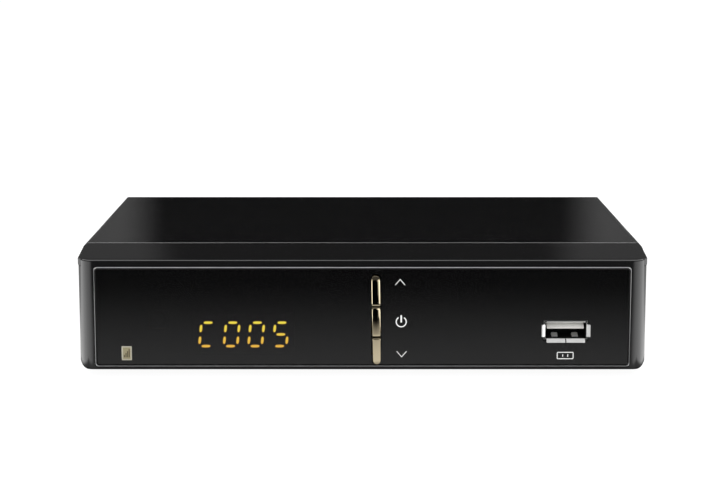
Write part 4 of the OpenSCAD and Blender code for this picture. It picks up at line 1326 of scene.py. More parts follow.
    def strokes(self, sign: Sign) -> list[list[Point]]:
        """Gives the outlines of a printed sign.

        Args:
            sign: which sign.

        Returns:
            Its closed outlines.
        """
        if sign in (Sign.UP, Sign.DOWN):
            turn = 1 if sign is Sign.UP else -1
            middle = self.up_z if sign is Sign.UP else self.down_z
            x = self.chevron_x[0] if sign is Sign.UP else self.chevron_x[1]
            foot = middle - turn * self.chevron_rise / 2
            tip = (x, middle + turn * self.chevron_rise / 2)
            ends = [(x + side * self.chevron_half, foot) for side in (-turn, turn)]
            return [stroke_outline([ends[0], tip, ends[1]], self.stroke)]
        if sign is Sign.STANDBY:
            x, z = self.standby_at
            start, end = QUARTER_TURN + self.standby_gap, QUARTER_TURN + FULL_TURN - self.standby_gap
            ring = arc(self.standby_at, self.standby_r, start, end, self.arc_steps)
            bar = [(x, z + rise) for rise in self.standby_bar]
            return [stroke_outline(path, width) for path, width in zip((ring, bar), self.standby_stroke)]
        x, z = self.port_sign_at
        ends = (z - self.pin_half, z + self.pin_half)
        pins = [[(x + side * self.pin_x, end) for end in ends] for side in (-1, 1)]
        return [stroke_outline(path, self.port_sign_stroke) for path in pins]

    def build_sign(self, sign: Sign) -> None:
        """Prints one sign on the window.

        Args:
            sign: which sign.
        """
        levels = (FRONT_Y - self.ink, FRONT_Y + self.ink / 2)
        shape = bmesh.new()
        for outline in self.strokes(sign):
            add_prism(shape, outline, *levels)
        if sign is Sign.PORT:
            loops = []
            for inset in (0.0, self.port_sign_stroke):
                half = (self.port_sign_half[0] - inset, self.port_sign_half[1] - inset)
                radius = self.port_sign_r - inset
                outline = rounded_outline(self.port_sign_at, half, radius, self.corner_steps)
                loops += [(outline, y) for y in (levels if inset else reversed(levels))]
            add_ring(shape, loops)
        self.place(to_mesh(shape, sign.value), sign.value, INK_WHITE)


@dataclass(frozen=True)
class KeyEnds:
    """Where a key begins and ends, and which of its ends is round.

    Attributes:
        low: height of its lower end.
        high: height of its upper end.
        round_low: the lower end is round.
        round_high: the upper end is round.
        crown_r: radius of the crown across its front.
        crown_x: place of the top of the crown, from the middle of the strip.
    """

    low: float
    high: float
    round_low: bool = False
    round_high: bool = False
    crown_r: float = 4.0
    crown_x: float = -0.3


@dataclass
class KeyStrip(SubAssembly):
    """The three keys, their plungers and their switches.

    The fronts of the keys share one arch along the strip and are crowned across it.

    Attributes:
        x: middle of the strip, halfway up.
        width: width of the keys, halfway up.
        front: y of the foremost point of the arch.
        cut_y: where a new front meets the rear of the CAD key.
        arch_r: radius of the arch.
        arch_z: height of its foremost point.
        lean: slope at which the arch runs on straight, higher up.
        slant: how far the strip strays to the right for each millimetre down.
        taper: share of its width that it loses for each millimetre down.
        middle_z: height of the middle of the strip.
        edge_r: radius of the edges of a front.
        edge_steps: faces across that radius.
        columns: faces across a front.
        rows: faces along it.
        plunger_round: radius of the edges of the plungers.
        switch_round: radius of the edges of the switches.
        ends: where each key begins and ends.
    """

    x: float = 4.1
    width: float = 2.45
    front: float = -64.0
    cut_y: float = FRONT_Y + 2.66
    arch_r: float = 130.0
    arch_z: float = 11.0
    lean: float = 0.063
    slant: float = 0.015
    taper: float = 0.0025
    middle_z: float = 17.9
    edge_r: float = 0.22
    edge_steps: int = 5
    columns: int = 18
    rows: int = 16
    plunger_round: float = 0.15
    switch_round: float = 0.15
    ends: ClassVar[dict[Body, KeyEnds]] = {
        Body.CHANNEL_UP: KeyEnds(22.05, 31.1, round_high=True, crown_r=5.0, crown_x=-0.2),
        Body.POWER: KeyEnds(12.9, 21.6),
        Body.CHANNEL_DOWN: KeyEnds(4.25, 12.4, round_low=True),
    }

    def build(self) -> None:
        """Builds and dresses the keys and what they press."""
        for body, ends in self.ends.items():
            node = f"{body.value}_key"
            key = self.place(self.key_mesh(node, ends), f"{node}_dressed", KEY_CHROME, body, (node,))
            self.repaint(key, PLUNGER_BLACK, lambda face: face.center.y > self.cut_y * MM - WELD)
            self.dress(f"{body.value}_plunger", PLUNGER_BLACK, Rounding(self.plunger_round), body=body)
        self.dress("tact_switches", SWITCH_GREY, Rounding(self.switch_round))

    def key_mesh(self, node: str, ends: KeyEnds) -> bpy.types.Mesh:
        """Joins the rear of a CAD key and a crowned front.

        Args:
            node: name of the CAD node.
            ends: where the key begins and ends.

        Returns:
            The mesh.
        """
        shape = merged_copy(node)
        cut = bmesh.ops.bisect_plane(
            shape,
            geom=[*shape.verts, *shape.edges, *shape.faces],
            plane_co=(0.0, self.cut_y * MM, 0.0),
            plane_no=(0.0, -1.0, 0.0),
            clear_outer=True,
        )
        rim = [item for item in cut["geom_cut"] if isinstance(item, bmesh.types.BMEdge)]
        bmesh.ops.edgeloop_fill(shape, edges=rim)
        bmesh.ops.scale(shape, vec=(1 / MM,) * 3, verts=shape.verts)
        self.add_front(shape, ends)
        return settle_normals(to_mesh(shape, node), f"{node}_dressed")

    def front_grid(self, ends: KeyEnds) -> list[list[Point]]:
        """Spreads points over the front of a key, in rows from its lower end up.

        Args:
            ends: where the key begins and ends.

        Returns:
            The rows of points, seen from the front.
        """
        reach = self.width / 2 - self.edge_r
        lower, upper = self.straight(ends)
        grid: list[list[Point]] = [[] for _ in range(self.rows + 1)]
        for column in range(self.columns + 1):
            angle = math.pi * column / self.columns
            bow = reach * math.sin(angle)
            start = lower - (bow if ends.round_low else 0.0)
            end = upper + (bow if ends.round_high else 0.0)
            for row, line in enumerate(grid):
                line.append((reach * math.cos(angle), start + (end - start) * row / self.rows))
        return grid

    @staticmethod
    def edge_of(grid: list[list]) -> list:
        """Gives what lies along the edge of a grid, in order."""
        right = [line[-1] for line in grid[1:]]
        return grid[0] + right + grid[-1][-2::-1] + [line[0] for line in grid[-2:0:-1]]

    def add_front(self, shape: bmesh.types.BMesh, ends: KeyEnds) -> None:
        """Adds the crowned front of a key.

        Args:
            shape: the shape that it is added to, in millimetres.
            ends: where the key begins and ends.
        """
        grid = self.front_grid(ends)
        lower, upper = self.straight(ends)
        skin = [[self.raise_point(shape, point, point, ends) for point in line] for line in grid]
        for below, above in zip(skin, skin[1:]):
            for k in range(self.columns):
                shape.faces.new((below[k], below[k + 1], above[k + 1], above[k]))
        loop = self.edge_of(grid)
        rim = self.edge_of(skin)
        for step in range(1, self.edge_steps + 2):
            turn = math.pi / 2 * min(step, self.edge_steps) / self.edge_steps
            out, drop = self.edge_r * math.sin(turn), self.edge_r * (1 - math.cos(turn))
            ring = []
            for point in loop:
                away = self.outward(point, lower, upper)
                moved = (point[0] + away.x * out, point[1] + away.y * out)
                vert = self.raise_point(shape, moved, point, ends)
                vert.co.y = self.cut_y if step > self.edge_steps else vert.co.y + drop
                ring.append(vert)
            for k, vert in enumerate(ring):
                n = (k + 1) % len(ring)
                shape.faces.new((rim[k], rim[n], ring[n], vert))
            rim = ring
        shape.faces.new(rim)

    def straight(self, ends: KeyEnds) -> Point:
        """Gives the heights between which the front of a key keeps its width.

        Args:
            ends: where the key begins and ends.

        Returns:
            The lower and the upper height.
        """
        half = self.width / 2
        lower = ends.low + (half if ends.round_low else self.edge_r)
        upper = ends.high - (half if ends.round_high else self.edge_r)
        return lower, upper

    def outward(self, point: Point, lower: float, upper: float) -> Vector:
        """Gives the direction in which a point of the rim leaves the key, seen from the front.

        Args:
            point: the point, from the middle of the strip.
            lower: height at which the even width begins.
            upper: height at which it ends.

        Returns:
            The direction.
        """
        x, z = point
        reach = self.width / 2 - self.edge_r
        past = max(z - upper, 0.0) - max(lower - z, 0.0)
        if abs(past) > TINY:
            return Vector((x, past)).normalized()
        at_end = (z > upper - TINY) - (z < lower + TINY)
        at_side = (x > reach - TINY) - (x < TINY - reach)
        return Vector((at_side, at_end))

    def raise_point(
        self, shape: bmesh.types.BMesh, point: Point, base: Point, ends: KeyEnds
    ) -> bmesh.types.BMVert:
        """Puts a point of the front at its depth, which the arch and the crown give.

        Args:
            shape: the shape that it is added to.
            point: its place seen from the front, from the middle of the strip.
            base: the place that its depth is taken from.
            ends: where the key begins and ends.

        Returns:
            The new point.
        """
        lower, upper = self.straight(ends)
        past = max(base[1] - upper, lower - base[1], 0.0)
        off = math.hypot(base[0] - ends.crown_x, past)
        crown = ends.crown_r - math.sqrt(ends.crown_r**2 - off**2)
        rise = base[1] - self.arch_z
        bent = min(rise, self.lean * self.arch_r)
        arch = bent**2 / (2 * self.arch_r) + (rise - bent) * self.lean
        below = self.middle_z - point[1]
        x = self.x + point[0] * (1 - self.taper * below) + self.slant * below
        return shape.verts.new((x, self.front + arch + crown, point[1]))


class Segment(Enum):
    """Segments of a figure: shares of its half width and half height, and whether one stands upright."""

    TOP = (0.0, 1.0, False)
    UPPER_RIGHT = (1.0, 0.5, True)
    LOWER_RIGHT = (1.0, -0.5, True)
    FOOT = (0.0, -1.0, False)
    LOWER_LEFT = (-1.0, -0.5, True)
    UPPER_LEFT = (-1.0, 0.5, True)
    MIDDLE = (0.0, 0.0, False)


LETTER_C = (Segment.TOP, Segment.FOOT, Segment.LOWER_LEFT, Segment.UPPER_LEFT)
FIGURE_0 = tuple(segment for segment in Segment if segment is not Segment.MIDDLE)
FIGURE_5 = (Segment.TOP, Segment.LOWER_RIGHT, Segment.FOOT, Segment.UPPER_LEFT, Segment.MIDDLE)


@dataclass
class Readout(SubAssembly):
    """The readout behind the window: its module, its lit figures and the receiver eye.

    The fullness holds the powers that round a segment along and across, and the core is its share that glows
    fully.
    """

    middle: Point = (-35.5, 13.03)
    pitch: float = 7.36
    half: Point = (2.0, 3.59)
    thick: float = 0.95
    cut: float = 0.62
    lean: float = 6.0
    near_y: float = FRONT_Y + 1.9
    far_y: float = FRONT_Y + 2.1
    core: float = 0.5
    fullness: Point = (0.8, 0.62)
    steps: int = 28
    figures: tuple[tuple[Segment, ...], ...] = (LETTER_C, FIGURE_0, FIGURE_0, FIGURE_5)
    module_round: float = 0.3
    eye_round: float = 0.2

    def build(self) -> None:
        """Builds and dresses the readout."""
        self.dress("display_module", MODULE_BLACK, Rounding(self.module_round))
        self.dress("receiver_eye", EYE_DARK, Rounding(self.eye_round))
        self.build_segments()

    def ring(self, segment: Segment, share: float) -> list[Point]:
        """Gives the rounded outline of a segment.

        Args:
            segment: which segment.
            share: how much of its size the outline has.

        Returns:
            The points in order, leaned as the figures are.
        """
        x_share, z_share, upright = segment.value
        x, z = x_share * self.half[0], z_share * self.half[1]
        length = (self.half[1] / 2 if upright else self.half[0]) - self.cut
        thick = self.thick / 2
        points = []
        for step in range(self.steps):
            angle = 2 * math.pi * step / self.steps
            c, s = math.cos(angle), math.sin(angle)
            along = math.copysign(abs(c) ** self.fullness[0], c) * (length - thick * (1 - share))
            across = math.copysign(abs(s) ** self.fullness[1], s) * thick * share
            flat_x, flat_z = (across, along) if upright else (along, -across)
            points.append((x + flat_x + (z + flat_z) * math.tan(math.radians(self.lean)), z + flat_z))
        return points

    def build_segments(self) -> None:
        """Builds the lit segments, with a mark of how far each point lies from the outline."""
        shape = bmesh.new()
        glow = shape.verts.layers.float.new("glow")
        levels = ((1.0, self.far_y, 0.0), (1.0, self.near_y, 0.0), (self.core, self.near_y, 1.0))
        for i, lit in enumerate(self.figures):
            centre = self.middle[0] + (i - (len(self.figures) - 1) / 2) * self.pitch
            for segment in lit:
                rings = []
                for share, y, level in levels:
                    ring = self.ring(segment, share)
                    verts = [shape.verts.new((centre + x, y, self.middle[1] + z)) for x, z in ring]
                    for vert in verts:
                        vert[glow] = level
                    rings.append(verts)
                shape.faces.new(rings[0])
                shape.faces.new(list(reversed(rings[-1])))
                for inner, outer in zip(rings, rings[1:]):
                    for k in range(self.steps):
                        n = (k + 1) % self.steps
                        shape.faces.new((inner[k], inner[n], outer[n], outer[k]))
        mesh = to_mesh(shape, "lit_figures")
        self.place(mesh, "lit_figures", SEGMENT_AMBER, stands_for=("lit_segments",))


@dataclass
class DataPort(SubAssembly):
    """The data port on the front.

    Widths and heights are counted from the middle of the port, depths from the front of the window.
    """

    sheet_round: float = 0.1
    tongue_round: float = 0.15
    contact_round: float = 0.05
    middle: Point = (60.7, 14.5)
    room: Point = (6.14, 2.44)
    shade_sheet: float = 0.1
    shade_sheet_y: Point = (0.35, 8.0)
    back_top: float = 0.0
    tab_room: Point = (5.9, 2.3)
    lip_root: float = 2.45
    lip_share: float = 0.35
    lip_edge: float = 3.4
    lip_back: float = 0.35
    tab_y: Point = (0.9, 7.5)
    tab_reach: float = 4.2
    tab_x: Point = (2.62, 3.05)
    tab_share: float = 0.8
    tab_rise: float = 0.45
    sheet_edge: float = 0.1
    facing: float = 0.9
    slope_z: float = 1.0
    slope_back: float = 2.4

    def build(self) -> None:
        """Builds and dresses the port."""
        shell = self.dress("port_shell", PORT_TIN, Rounding(self.sheet_round), shaper=self.press_sheet)
        # The spring tabs get a paler copy of the tin: painted light.
        self.repaint(shell, TAB_TIN_PAINTED_LIGHT, self.is_tab)
        # The front edge of the shell's sheet is painted black: painted shade between the tongue and the lips.
        self.repaint(shell, PORT_SHADE_BLACK, self.is_front_edge)
        self.dress("port_tongue", TONGUE_WHITE, Rounding(self.tongue_round), shaper=self.slope_tongue)
        self.dress("port_contacts", CONTACT_GOLD, Rounding(self.contact_round, FINE_STEPS))
        self.build_shade_sheet()

    def is_tab(self, face: bpy.types.MeshPolygon) -> bool:
        """Says whether a face of the shell lies inside the port, on its spring tabs.

        Args:
            face: the face.

        Returns:
            True on the tabs.
        """
        across = abs(face.center.x / MM - self.middle[0])
        up = abs(face.center.z / MM - self.middle[1])
        deep = face.center.y / MM - FRONT_Y > self.shade_sheet_y[0]
        return deep and across < self.tab_room[0] and up < self.tab_room[1]

    def is_front_edge(self, face: bpy.types.MeshPolygon) -> bool:
        """Says whether a face of the shell is the front edge of its sheet."""
        back = face.center.y / MM - FRONT_Y
        return abs(back) < self.sheet_edge and face.normal.y < -self.facing

    def press_sheet(self, shape: bmesh.types.BMesh) -> None:
        """Thins the upper lip of the shell and presses its spring tabs higher.

        Args:
            shape: the merged copy of the shell.
        """
        x, z = self.middle
        for vert in shape.verts:
            across = vert.co.x / MM - x
            up = vert.co.z / MM - z
            back = vert.co.y / MM - FRONT_Y
            if back < 0.0 and up > self.lip_root:
                vert.co.z = (z + self.lip_root + (up - self.lip_root) * self.lip_share) * MM
                if up > self.lip_edge:
                    vert.co.y += self.lip_back * MM
            elif self.tab_y[0] < back < self.tab_y[1] and abs(across) < self.tab_reach and up < 0.0:
                side = math.copysign(1.0, across)
                off = across - side * self.tab_x[0]
                vert.co.x = (x + side * self.tab_x[1] + off * self.tab_share) * MM
                if up > -self.tab_room[1]:
                    vert.co.z += self.tab_rise * MM

    def slope_tongue(self, shape: bmesh.types.BMesh) -> None:
        """Slopes the upper edge of the front of the tongue back.

        Args:
            shape: the merged copy of the tongue.
        """
        level = (self.middle[1] + self.slope_z) * MM
        bmesh.ops.bisect_plane(
            shape,
            geom=[*shape.verts, *shape.edges, *shape.faces],
            plane_co=(0.0, 0.0, level),
            plane_no=(0.0, 0.0, 1.0),
        )
        front = min(vert.co.y for vert in shape.verts)
        for vert in shape.verts:
            if vert.co.y < front + WELD and vert.co.z > level + WELD:
                vert.co.y += self.slope_back * MM

    def build_shade_sheet(self) -> None:
        """Puts a thin black sheet inside the port, under the spring tabs: painted shade over what is bare
        metal in shadow.
        """
        x, z = self.middle
        half_w, half_h = self.room
        inner_w, inner_h = half_w - self.shade_sheet, half_h - self.shade_sheet
        sides = [(-half_w, -half_h), (half_w, -half_h), (half_w, half_h), (inner_w, half_h)]
        sides += [(inner_w, -inner_h), (-inner_w, -inner_h), (-inner_w, half_h), (-half_w, half_h)]
        back_w, back_low = half_w - self.shade_sheet / 2, self.shade_sheet / 2 - half_h
        back = [(-back_w, back_low), (back_w, back_low), (back_w, self.back_top), (-back_w, self.back_top)]
        near, far = (FRONT_Y + y for y in self.shade_sheet_y)
        shape = bmesh.new()
        for outline, start, end in ((sides, near, far), (back, far - 2 * self.shade_sheet, far - self.shade_sheet)):
            add_prism(shape, [(x + across, z + up) for across, up in outline], start, end)
        # This black sheet is painted shade.
        self.place(to_mesh(shape, "port_liner"), "port_liner", PORT_SHADE_BLACK)


@dataclass
class RearPanel(SubAssembly):
    """The rear panel and the sockets that pass through it."""

    panel_round: float = 0.12
    socket_round: float = 0.25
    sleeve_round: float = 0.15
    sheet_round: float = 0.12
    can_round: float = 0.4
    socket_x: Point = (-58.0, -38.0)
    socket_z: float = 19.15
    barrel_r: float = 4.7
    root_r: float = 4.4
    barrel_from: float = 55.4
    thread_y: Point = (55.9, 62.5)
    thread_pitch: float = 0.8
    thread_runs: int = 28
    contact_count: tuple[int, int] = (10, 9)
    contact_z: Point = (15.68, 13.98)
    contact_pitch: float = 1.0
    contact_size: Triple = (0.45, 6.0, 0.12)
    contact_end: float = 53.2
    picture_x: float = -18.0

    def build(self) -> None:
        """Builds and dresses the rear."""
        edge = Rounding(self.socket_round)
        fine = Rounding(self.sleeve_round)
        self.dress("rear_panel", PANEL_BLACK, Rounding(self.panel_round))
        self.dress("panel_screws", SCREW_STEEL, fine)
        self.dress("antenna_sockets", SOCKET_NICKEL, edge, shaper=self.cut_barrels)
        self.build_threads()
        self.build_contacts()
        self.dress("antenna_insulators", INSULATOR_WHITE, fine)
        self.dress("jack_sleeves", SOCKET_NICKEL, fine)
        jacks = {
            "video_jack": JACK_YELLOW,
            "left_jack": JACK_WHITE,
            "right_jack": JACK_RED,
            "coax_jack": JACK_ORANGE,
        }
        for node, finish in jacks.items():
            self.dress(node, finish, edge)
        self.dress("av_block", BLOCK_BLACK, edge)
        self.dress("coax_block", BLOCK_BLACK, edge)
        sheet = Rounding(self.sheet_round)
        self.dress("picture_socket", SOCKET_TIN, sheet)
        self.dress("picture_tongue", PLUNGER_BLACK, sheet)
        self.dress("power_socket", BLOCK_BLACK, edge)
        self.dress("power_pin", SOCKET_NICKEL, edge)
        self.dress("tuner_can", CAN_TIN, Rounding(self.can_round))

    def cut_barrels(self, shape: bmesh.types.BMesh) -> None:
        """Turns the barrels of the antenna sockets down to the root of their thread.

        Args:
            shape: the merged copy of the sockets.
        """
        for vert in shape.verts:
            x = min(self.socket_x, key=lambda middle: abs(vert.co.x / MM - middle))
            arm = Vector((vert.co.x / MM - x, vert.co.z / MM - self.socket_z))
            on_skin = abs(arm.length - self.barrel_r) < self.sleeve_round
            if on_skin and vert.co.y / MM > self.barrel_from - self.socket_round:
                arm *= self.root_r / arm.length
                vert.co.x = (x + arm.x) * MM
                vert.co.z = (self.socket_z + arm.y) * MM

    def build_threads(self) -> None:
        """Winds the thread of each antenna socket."""
        start, end = self.thread_y
        turns = (end - start) / self.thread_pitch
        ridge = self.barrel_r - self.root_r
        values = [
            {
                "Turns": turns,
                "Runs": self.thread_runs,
                "Radius": self.root_r * MM,
                "Length": (end - start) * MM,
                "Ridge": ridge * MM,
                "Start": (x * MM, start * MM, self.socket_z * MM),
                "Finish": SOCKET_NICKEL.material(),
            }
            for x in self.socket_x
        ]
        self.place(grow(Copies.thread(), values, "antenna_threads"), "antenna_threads", SOCKET_NICKEL)

    def build_contacts(self) -> None:
        """Sets the rows of contacts on the tongue of the picture socket."""
        width, length, thick = self.contact_size
        x, z = width / 2, thick / 2
        shape = bmesh.new()
        add_prism(shape, [(-x, -z), (x, -z), (x, z), (-x, z)], -length, 0.0)
        part = bpy.data.objects.new("contact", to_mesh(shape, "contact"))
        values = []
        for count, height in zip(self.contact_count, self.contact_z):
            first = self.picture_x - (count - 1) * self.contact_pitch / 2
            values.append(
                {
                    "Part": part,
                    "Count": count,
                    "Start": (first * MM, self.contact_end * MM, height * MM),
                    "Step": (self.contact_pitch * MM, 0.0, 0.0),
                    "Finish": CONTACT_GOLD.material(),
                }
            )
        self.place(grow(Copies.row(), values, "picture_contacts"), "picture_contacts", CONTACT_GOLD)
        bpy.data.objects.remove(part)


class Side(Enum):
    """Sides of a chip, each with the direction in which it faces."""

    RIGHT = 0.0
    BACK = math.pi / 2
    LEFT = math.pi
    FRONT = -math.pi / 2


@dataclass
class Boards(SubAssembly):
    """The two circuit boards and what they carry."""

    board_round: float = 0.1
    part_round: float = 0.2
    crystal_round: float = 0.8
    capacitor_round: float = 0.5
    inductor_round: float = 0.6
    leg_run: Point = (0.35, 1.2)
    leg_top: float = 0.8
    leg_thick: float = 0.13
    leg_w: float = 0.3
    leg_edge: float = 0.7
    leg_rows: ClassVar[dict[str, tuple[float, tuple[Side, ...]]]] = {
        "processor": (0.8, tuple(Side)),
        "memory_chip": (0.8, (Side.LEFT, Side.RIGHT)),
        "flash_chip": (1.27, (Side.LEFT, Side.RIGHT)),
        "regulator": (2.3, (Side.FRONT,)),
    }

    def build(self) -> None:
        """Builds and dresses the boards and their parts."""
        thin = Rounding(self.board_round, FINE_STEPS)
        part = Rounding(self.part_round)
        rows = {
            "front_board": (BOARD_TAN, thin),
            "main_board": (BOARD_GREEN, thin),
            "front_board_screws": (SCREW_STEEL, thin),
            "main_board_screws": (SCREW_STEEL, thin),
            "front_header": (HEADER_IVORY, part),
            "main_header": (HEADER_IVORY, part),
            "ribbon_cable": (RIBBON_GREY, thin),
            "processor": (CHIP_BLACK, part),
            "memory_chip": (CHIP_BLACK, part),
            "flash_chip": (CHIP_BLACK, part),
            "regulator": (CHIP_BLACK, part),
            "thermal_pad": (PAD_GREY, thin),
            "heat_sink": (SINK_ALUMINIUM, part),
            "crystal_can": (CRYSTAL_STEEL, Rounding(self.crystal_round, ROUND_STEPS)),
            "storage_capacitors": (CAPACITOR_BLUE, Rounding(self.capacitor_round, ROUND_STEPS)),
            "power_inductor": (INDUCTOR_GREY, Rounding(self.inductor_round)),
        }
        for node, (finish, rounding) in rows.items():
            self.dress(node, finish, rounding)
        self.build_legs()

    def leg(self) -> bpy.types.Object:
        """Bends one leg of a chip, which points along x from the chip's side at the level of the board.

        Returns:
            The leg, for copying.
        """
        knee, foot = self.leg_run
        top, thick = self.leg_top, self.leg_thick
        upper = [(-thick, top), (knee, top), (2 * knee, thick), (foot, thick)]
        lower = [(foot, 0.0), (2 * knee - thick, 0.0), (knee - thick, top - thick), (-thick, top - thick)]
        shape = bmesh.new()
        add_prism(shape, upper + lower, -self.leg_w / 2, self.leg_w / 2)
        return bpy.data.objects.new("leg", to_mesh(shape, "leg"))

    def build_legs(self) -> None:
        """Sets the rows of legs along the sides of the chips."""
        part = self.leg()
        values = []
        for node, (pitch, sides) in self.leg_rows.items():
            low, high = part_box(node)
            for side in sides:
                along = Vector((0.0, 1.0, 0.0))
                if side in (Side.FRONT, Side.BACK):
                    along = Vector((1.0, 0.0, 0.0))
                room = (high - low).dot(along) / MM - 2 * self.leg_edge
                count = int(room / pitch) + 1
                middle = (low + high) / 2
                out = Vector((math.cos(side.value), math.sin(side.value), 0.0))
                reach = abs((high - low).dot(out)) / 2
                start = middle + out * reach - along * (count - 1) * pitch * MM / 2
                values.append(
                    {
                        "Part": part,
                        "Count": count,
                        "Start": (start.x, start.y, low.z),
                        "Step": tuple(along * pitch * MM),
                        "Turn": (0.0, 0.0, side.value),
                        "Finish": SOCKET_TIN.material(),
                    }
                )
        self.place(grow(Copies.row(), values, "chip_legs"), "chip_legs", SOCKET_TIN)
        bpy.data.objects.remove(part)


@dataclass
class Studio:
    """The floor, the lamps, the surroundings and the camera. Lengths here are metres, angles are degrees.

    Gloss shows the surroundings graded by direction: by its height, by how far it goes back and by its
    slant, which is how far it strays aside for each step back.

    Attributes:
        floor_half: half the side of the floor.
        camera_at: place of the camera.
        camera_dip: how far it looks down.
        lens: its focal length in millimetres.
        sensor: width of its sensor in millimetres.
        overhead_at: place of the overhead lamp.
        overhead_size: its width and height.
        overhead_level: its brightness, where 1 is white.
        fill_at: place of the fill in front.
        fill_size: its width and height.
        fill_level: its brightness.
        ambient: brightness of the surroundings for dull surfaces.
        dark_level: brightness straight behind the box, as gloss shows it.
        light_level: brightness beside that dark sector.
        wide_level: brightness that is added further aside.
        sector: slants at which the dark sector ends and the light is full.
        wide: slants at which the light further aside begins and is full.
        brow_z: heights at which the light for the brow begins and is full.
        brow_level: brightness that it adds.
        strip: heights at which the bright strip begins, is full, falls and ends.
        strip_level: its brightness.
        strip_side: slants at which it falls and ends.
        front_dim: how far back the dim part in front ends and the full part begins, and the share of each.
        high_z: heights at which the ceiling begins and is full.
        high_level: its brightness behind the box.
        zenith_y: how far back its dim part ends and the full part begins.
        zenith_level: brightness of its dim part.
        near_level: brightness of the floor before the box, as gloss shows it.
        fade: distances ahead of the front at which that falls and ends.
        contact: distances off the footprint at which it begins and is full, and its share before that.
        footprint: half the width, half the depth and the middle of the box on the floor.
        corner: the front corner that the light beside the box turns round.
        side_turn: angles at which that light begins and is full.
        side_level: its brightness.
        side_bend: power that bends its rise.
        side_fall: angles at which it falls and ends, and the share that stays.
        side_off: distances off the footprint at which it begins and is full.
        side_back: y at which it begins to fall to the rear and ends, and the share before and after.
        glow_share: light that the floor gives to the camera by itself.
        shade_share: light that it takes from the lamps, which a shadow takes away.
        bounce: share of the light that it throws back on the box.
    """

    floor_half: float = 6.0
    camera_at: Triple = (0.0, -0.5956, 0.1305)
    camera_dip: float = 9.395
    lens: float = 90.57
    sensor: float = 36.0
    overhead_at: Triple = (0.0, -0.2, 1.0)
    overhead_size: Point = (1.6, 1.2)
    overhead_level: float = 1.5
    fill_at: Triple = (0.0, -1.3, 0.45)
    fill_size: Point = (1.2, 0.8)
    fill_level: float = 2.2
    ambient: float = 0.42
    dark_level: float = 0.01
    light_level: float = 0.13
    wide_level: float = 0.16
    sector: Point = (0.108, 0.137)
    wide: Point = (0.2, 0.5)
    brow_z: Point = (0.3, 0.4)
    brow_level: float = 0.03
    strip: Quad = (0.213, 0.223, 0.238, 0.248)
    strip_level: float = 2.5
    strip_side: Point = (0.2, 0.3)
    front_dim: Quad = (-0.3, 0.0, 0.15, 1.0)
    high_z: Point = (0.45, 0.62)
    high_level: float = 3.2
    zenith_y: Point = (0.1, 0.3)
    zenith_level: float = 0.22
    near_level: float = 0.66
    fade: Point = (-0.02, 0.165)
    contact: Triple = (0.001, 0.014, 0.1)
    footprint: Triple = (0.085, 0.059, -0.0038)
    corner: Point = (0.0805, -0.0583)
    side_turn: Point = (8.6, 95.0)
    side_level: float = 3.7
    side_bend: float = 0.55
    side_fall: Triple = (80.0, 150.0, 0.16)
    side_off: Point = (0.013, 0.02)
    side_back: Quad = (-0.03, 0.03, 1.0, 0.12)
    glow_share: float = 0.95
    shade_share: float = 0.2
    bounce: float = 0.75

    def build(self) -> None:
        """Sets the stage."""
        bpy.context.scene.view_settings.view_transform = "Standard"
        self.build_floor()
        self.build_lamps()
        self.build_world()
        self.build_camera()

    def build_floor(self) -> None:
        """Lays the pale floor."""
        half = self.floor_half
        shape = bmesh.new()
        corners = ((-half, -half), (half, -half), (half, half), (-half, half))
        shape.faces.new([shape.verts.new((x, y, 0.0)) for x, y in corners])
        floor = link("floor", freed_mesh(shape, "floor"))
        floor.data.materials.append(self.floor_material())

    def floor_material(self) -> bpy.types.Material:
        """Makes the floor white to the camera, with a soft shadow, and graded in reflections.

        Returns:
            The material.
        """
        made = bpy.data.materials.new("pale_floor")
        wiring = fresh_nodes(made)
        rays = wiring.add("ShaderNodeLightPath").outputs
        glow = wiring.add("ShaderNodeEmission", {"Color": WHITE, "Strength": self.glow_share}).outputs[0]
        shade = wiring.add("ShaderNodeBsdfDiffuse", {"Color": (*(self.shade_share,) * 3, 1.0)}).outputs[0]
        seen = wiring.add("ShaderNodeAddShader", {0: glow, 1: shade}).outputs[0]
        bounce = wiring.add("ShaderNodeBsdfDiffuse", {"Color": (*(self.bounce,) * 3, 1.0)}).outputs[0]
        axes = wiring.add("ShaderNodeSeparateXYZ", {0: wiring.place()}).outputs
        off = self.off_footprint(wiring, axes)
        level = self.mirrored_level(wiring, axes, off)
        mirrored = wiring.add("ShaderNodeEmission", {"Color": WHITE, "Strength": level}).outputs[0]
        unseen = wiring.blend(rays["Is Glossy Ray"], bounce, mirrored)
        looked_at = wiring.sum("MAXIMUM", rays["Is Camera Ray"], rays["Is Transmission Ray"])
        upper = wiring.blend(looked_at, unseen, seen)
        below = wiring.add("ShaderNodeNewGeometry").outputs["Backfacing"]
        covered = wiring.sum("MULTIPLY", rays["Is Diffuse Ray"], wiring.sum("LESS_THAN", off, 0.0))
        clear = wiring.add("ShaderNodeBsdfTransparent").outputs[0]
        whole = wiring.blend(wiring.sum("MAXIMUM", below, covered), upper, clear)
        way_out = wiring.add("ShaderNodeOutputMaterial")
        wiring.join(whole, way_out.inputs["Surface"])
        return made

    def off_footprint(self, wiring: Wiring, axes: bpy.types.bpy_prop_collection) -> Socket:
        """Measures how far a point of the floor lies outside the footprint of the box.

        Args:
            wiring: the floor's nodes.
            axes: the point's coordinates.

        Returns:
            The socket that holds the distance, below 0 under the box.
        """
        half_w, half_d, middle = self.footprint
        across = wiring.sum("SUBTRACT", wiring.sum("ABSOLUTE", axes["X"]), half_w)
        depth = wiring.sum("ABSOLUTE", wiring.sum("SUBTRACT", axes["Y"], middle))
        return wiring.sum("MAXIMUM", across, wiring.sum("SUBTRACT", depth, half_d))

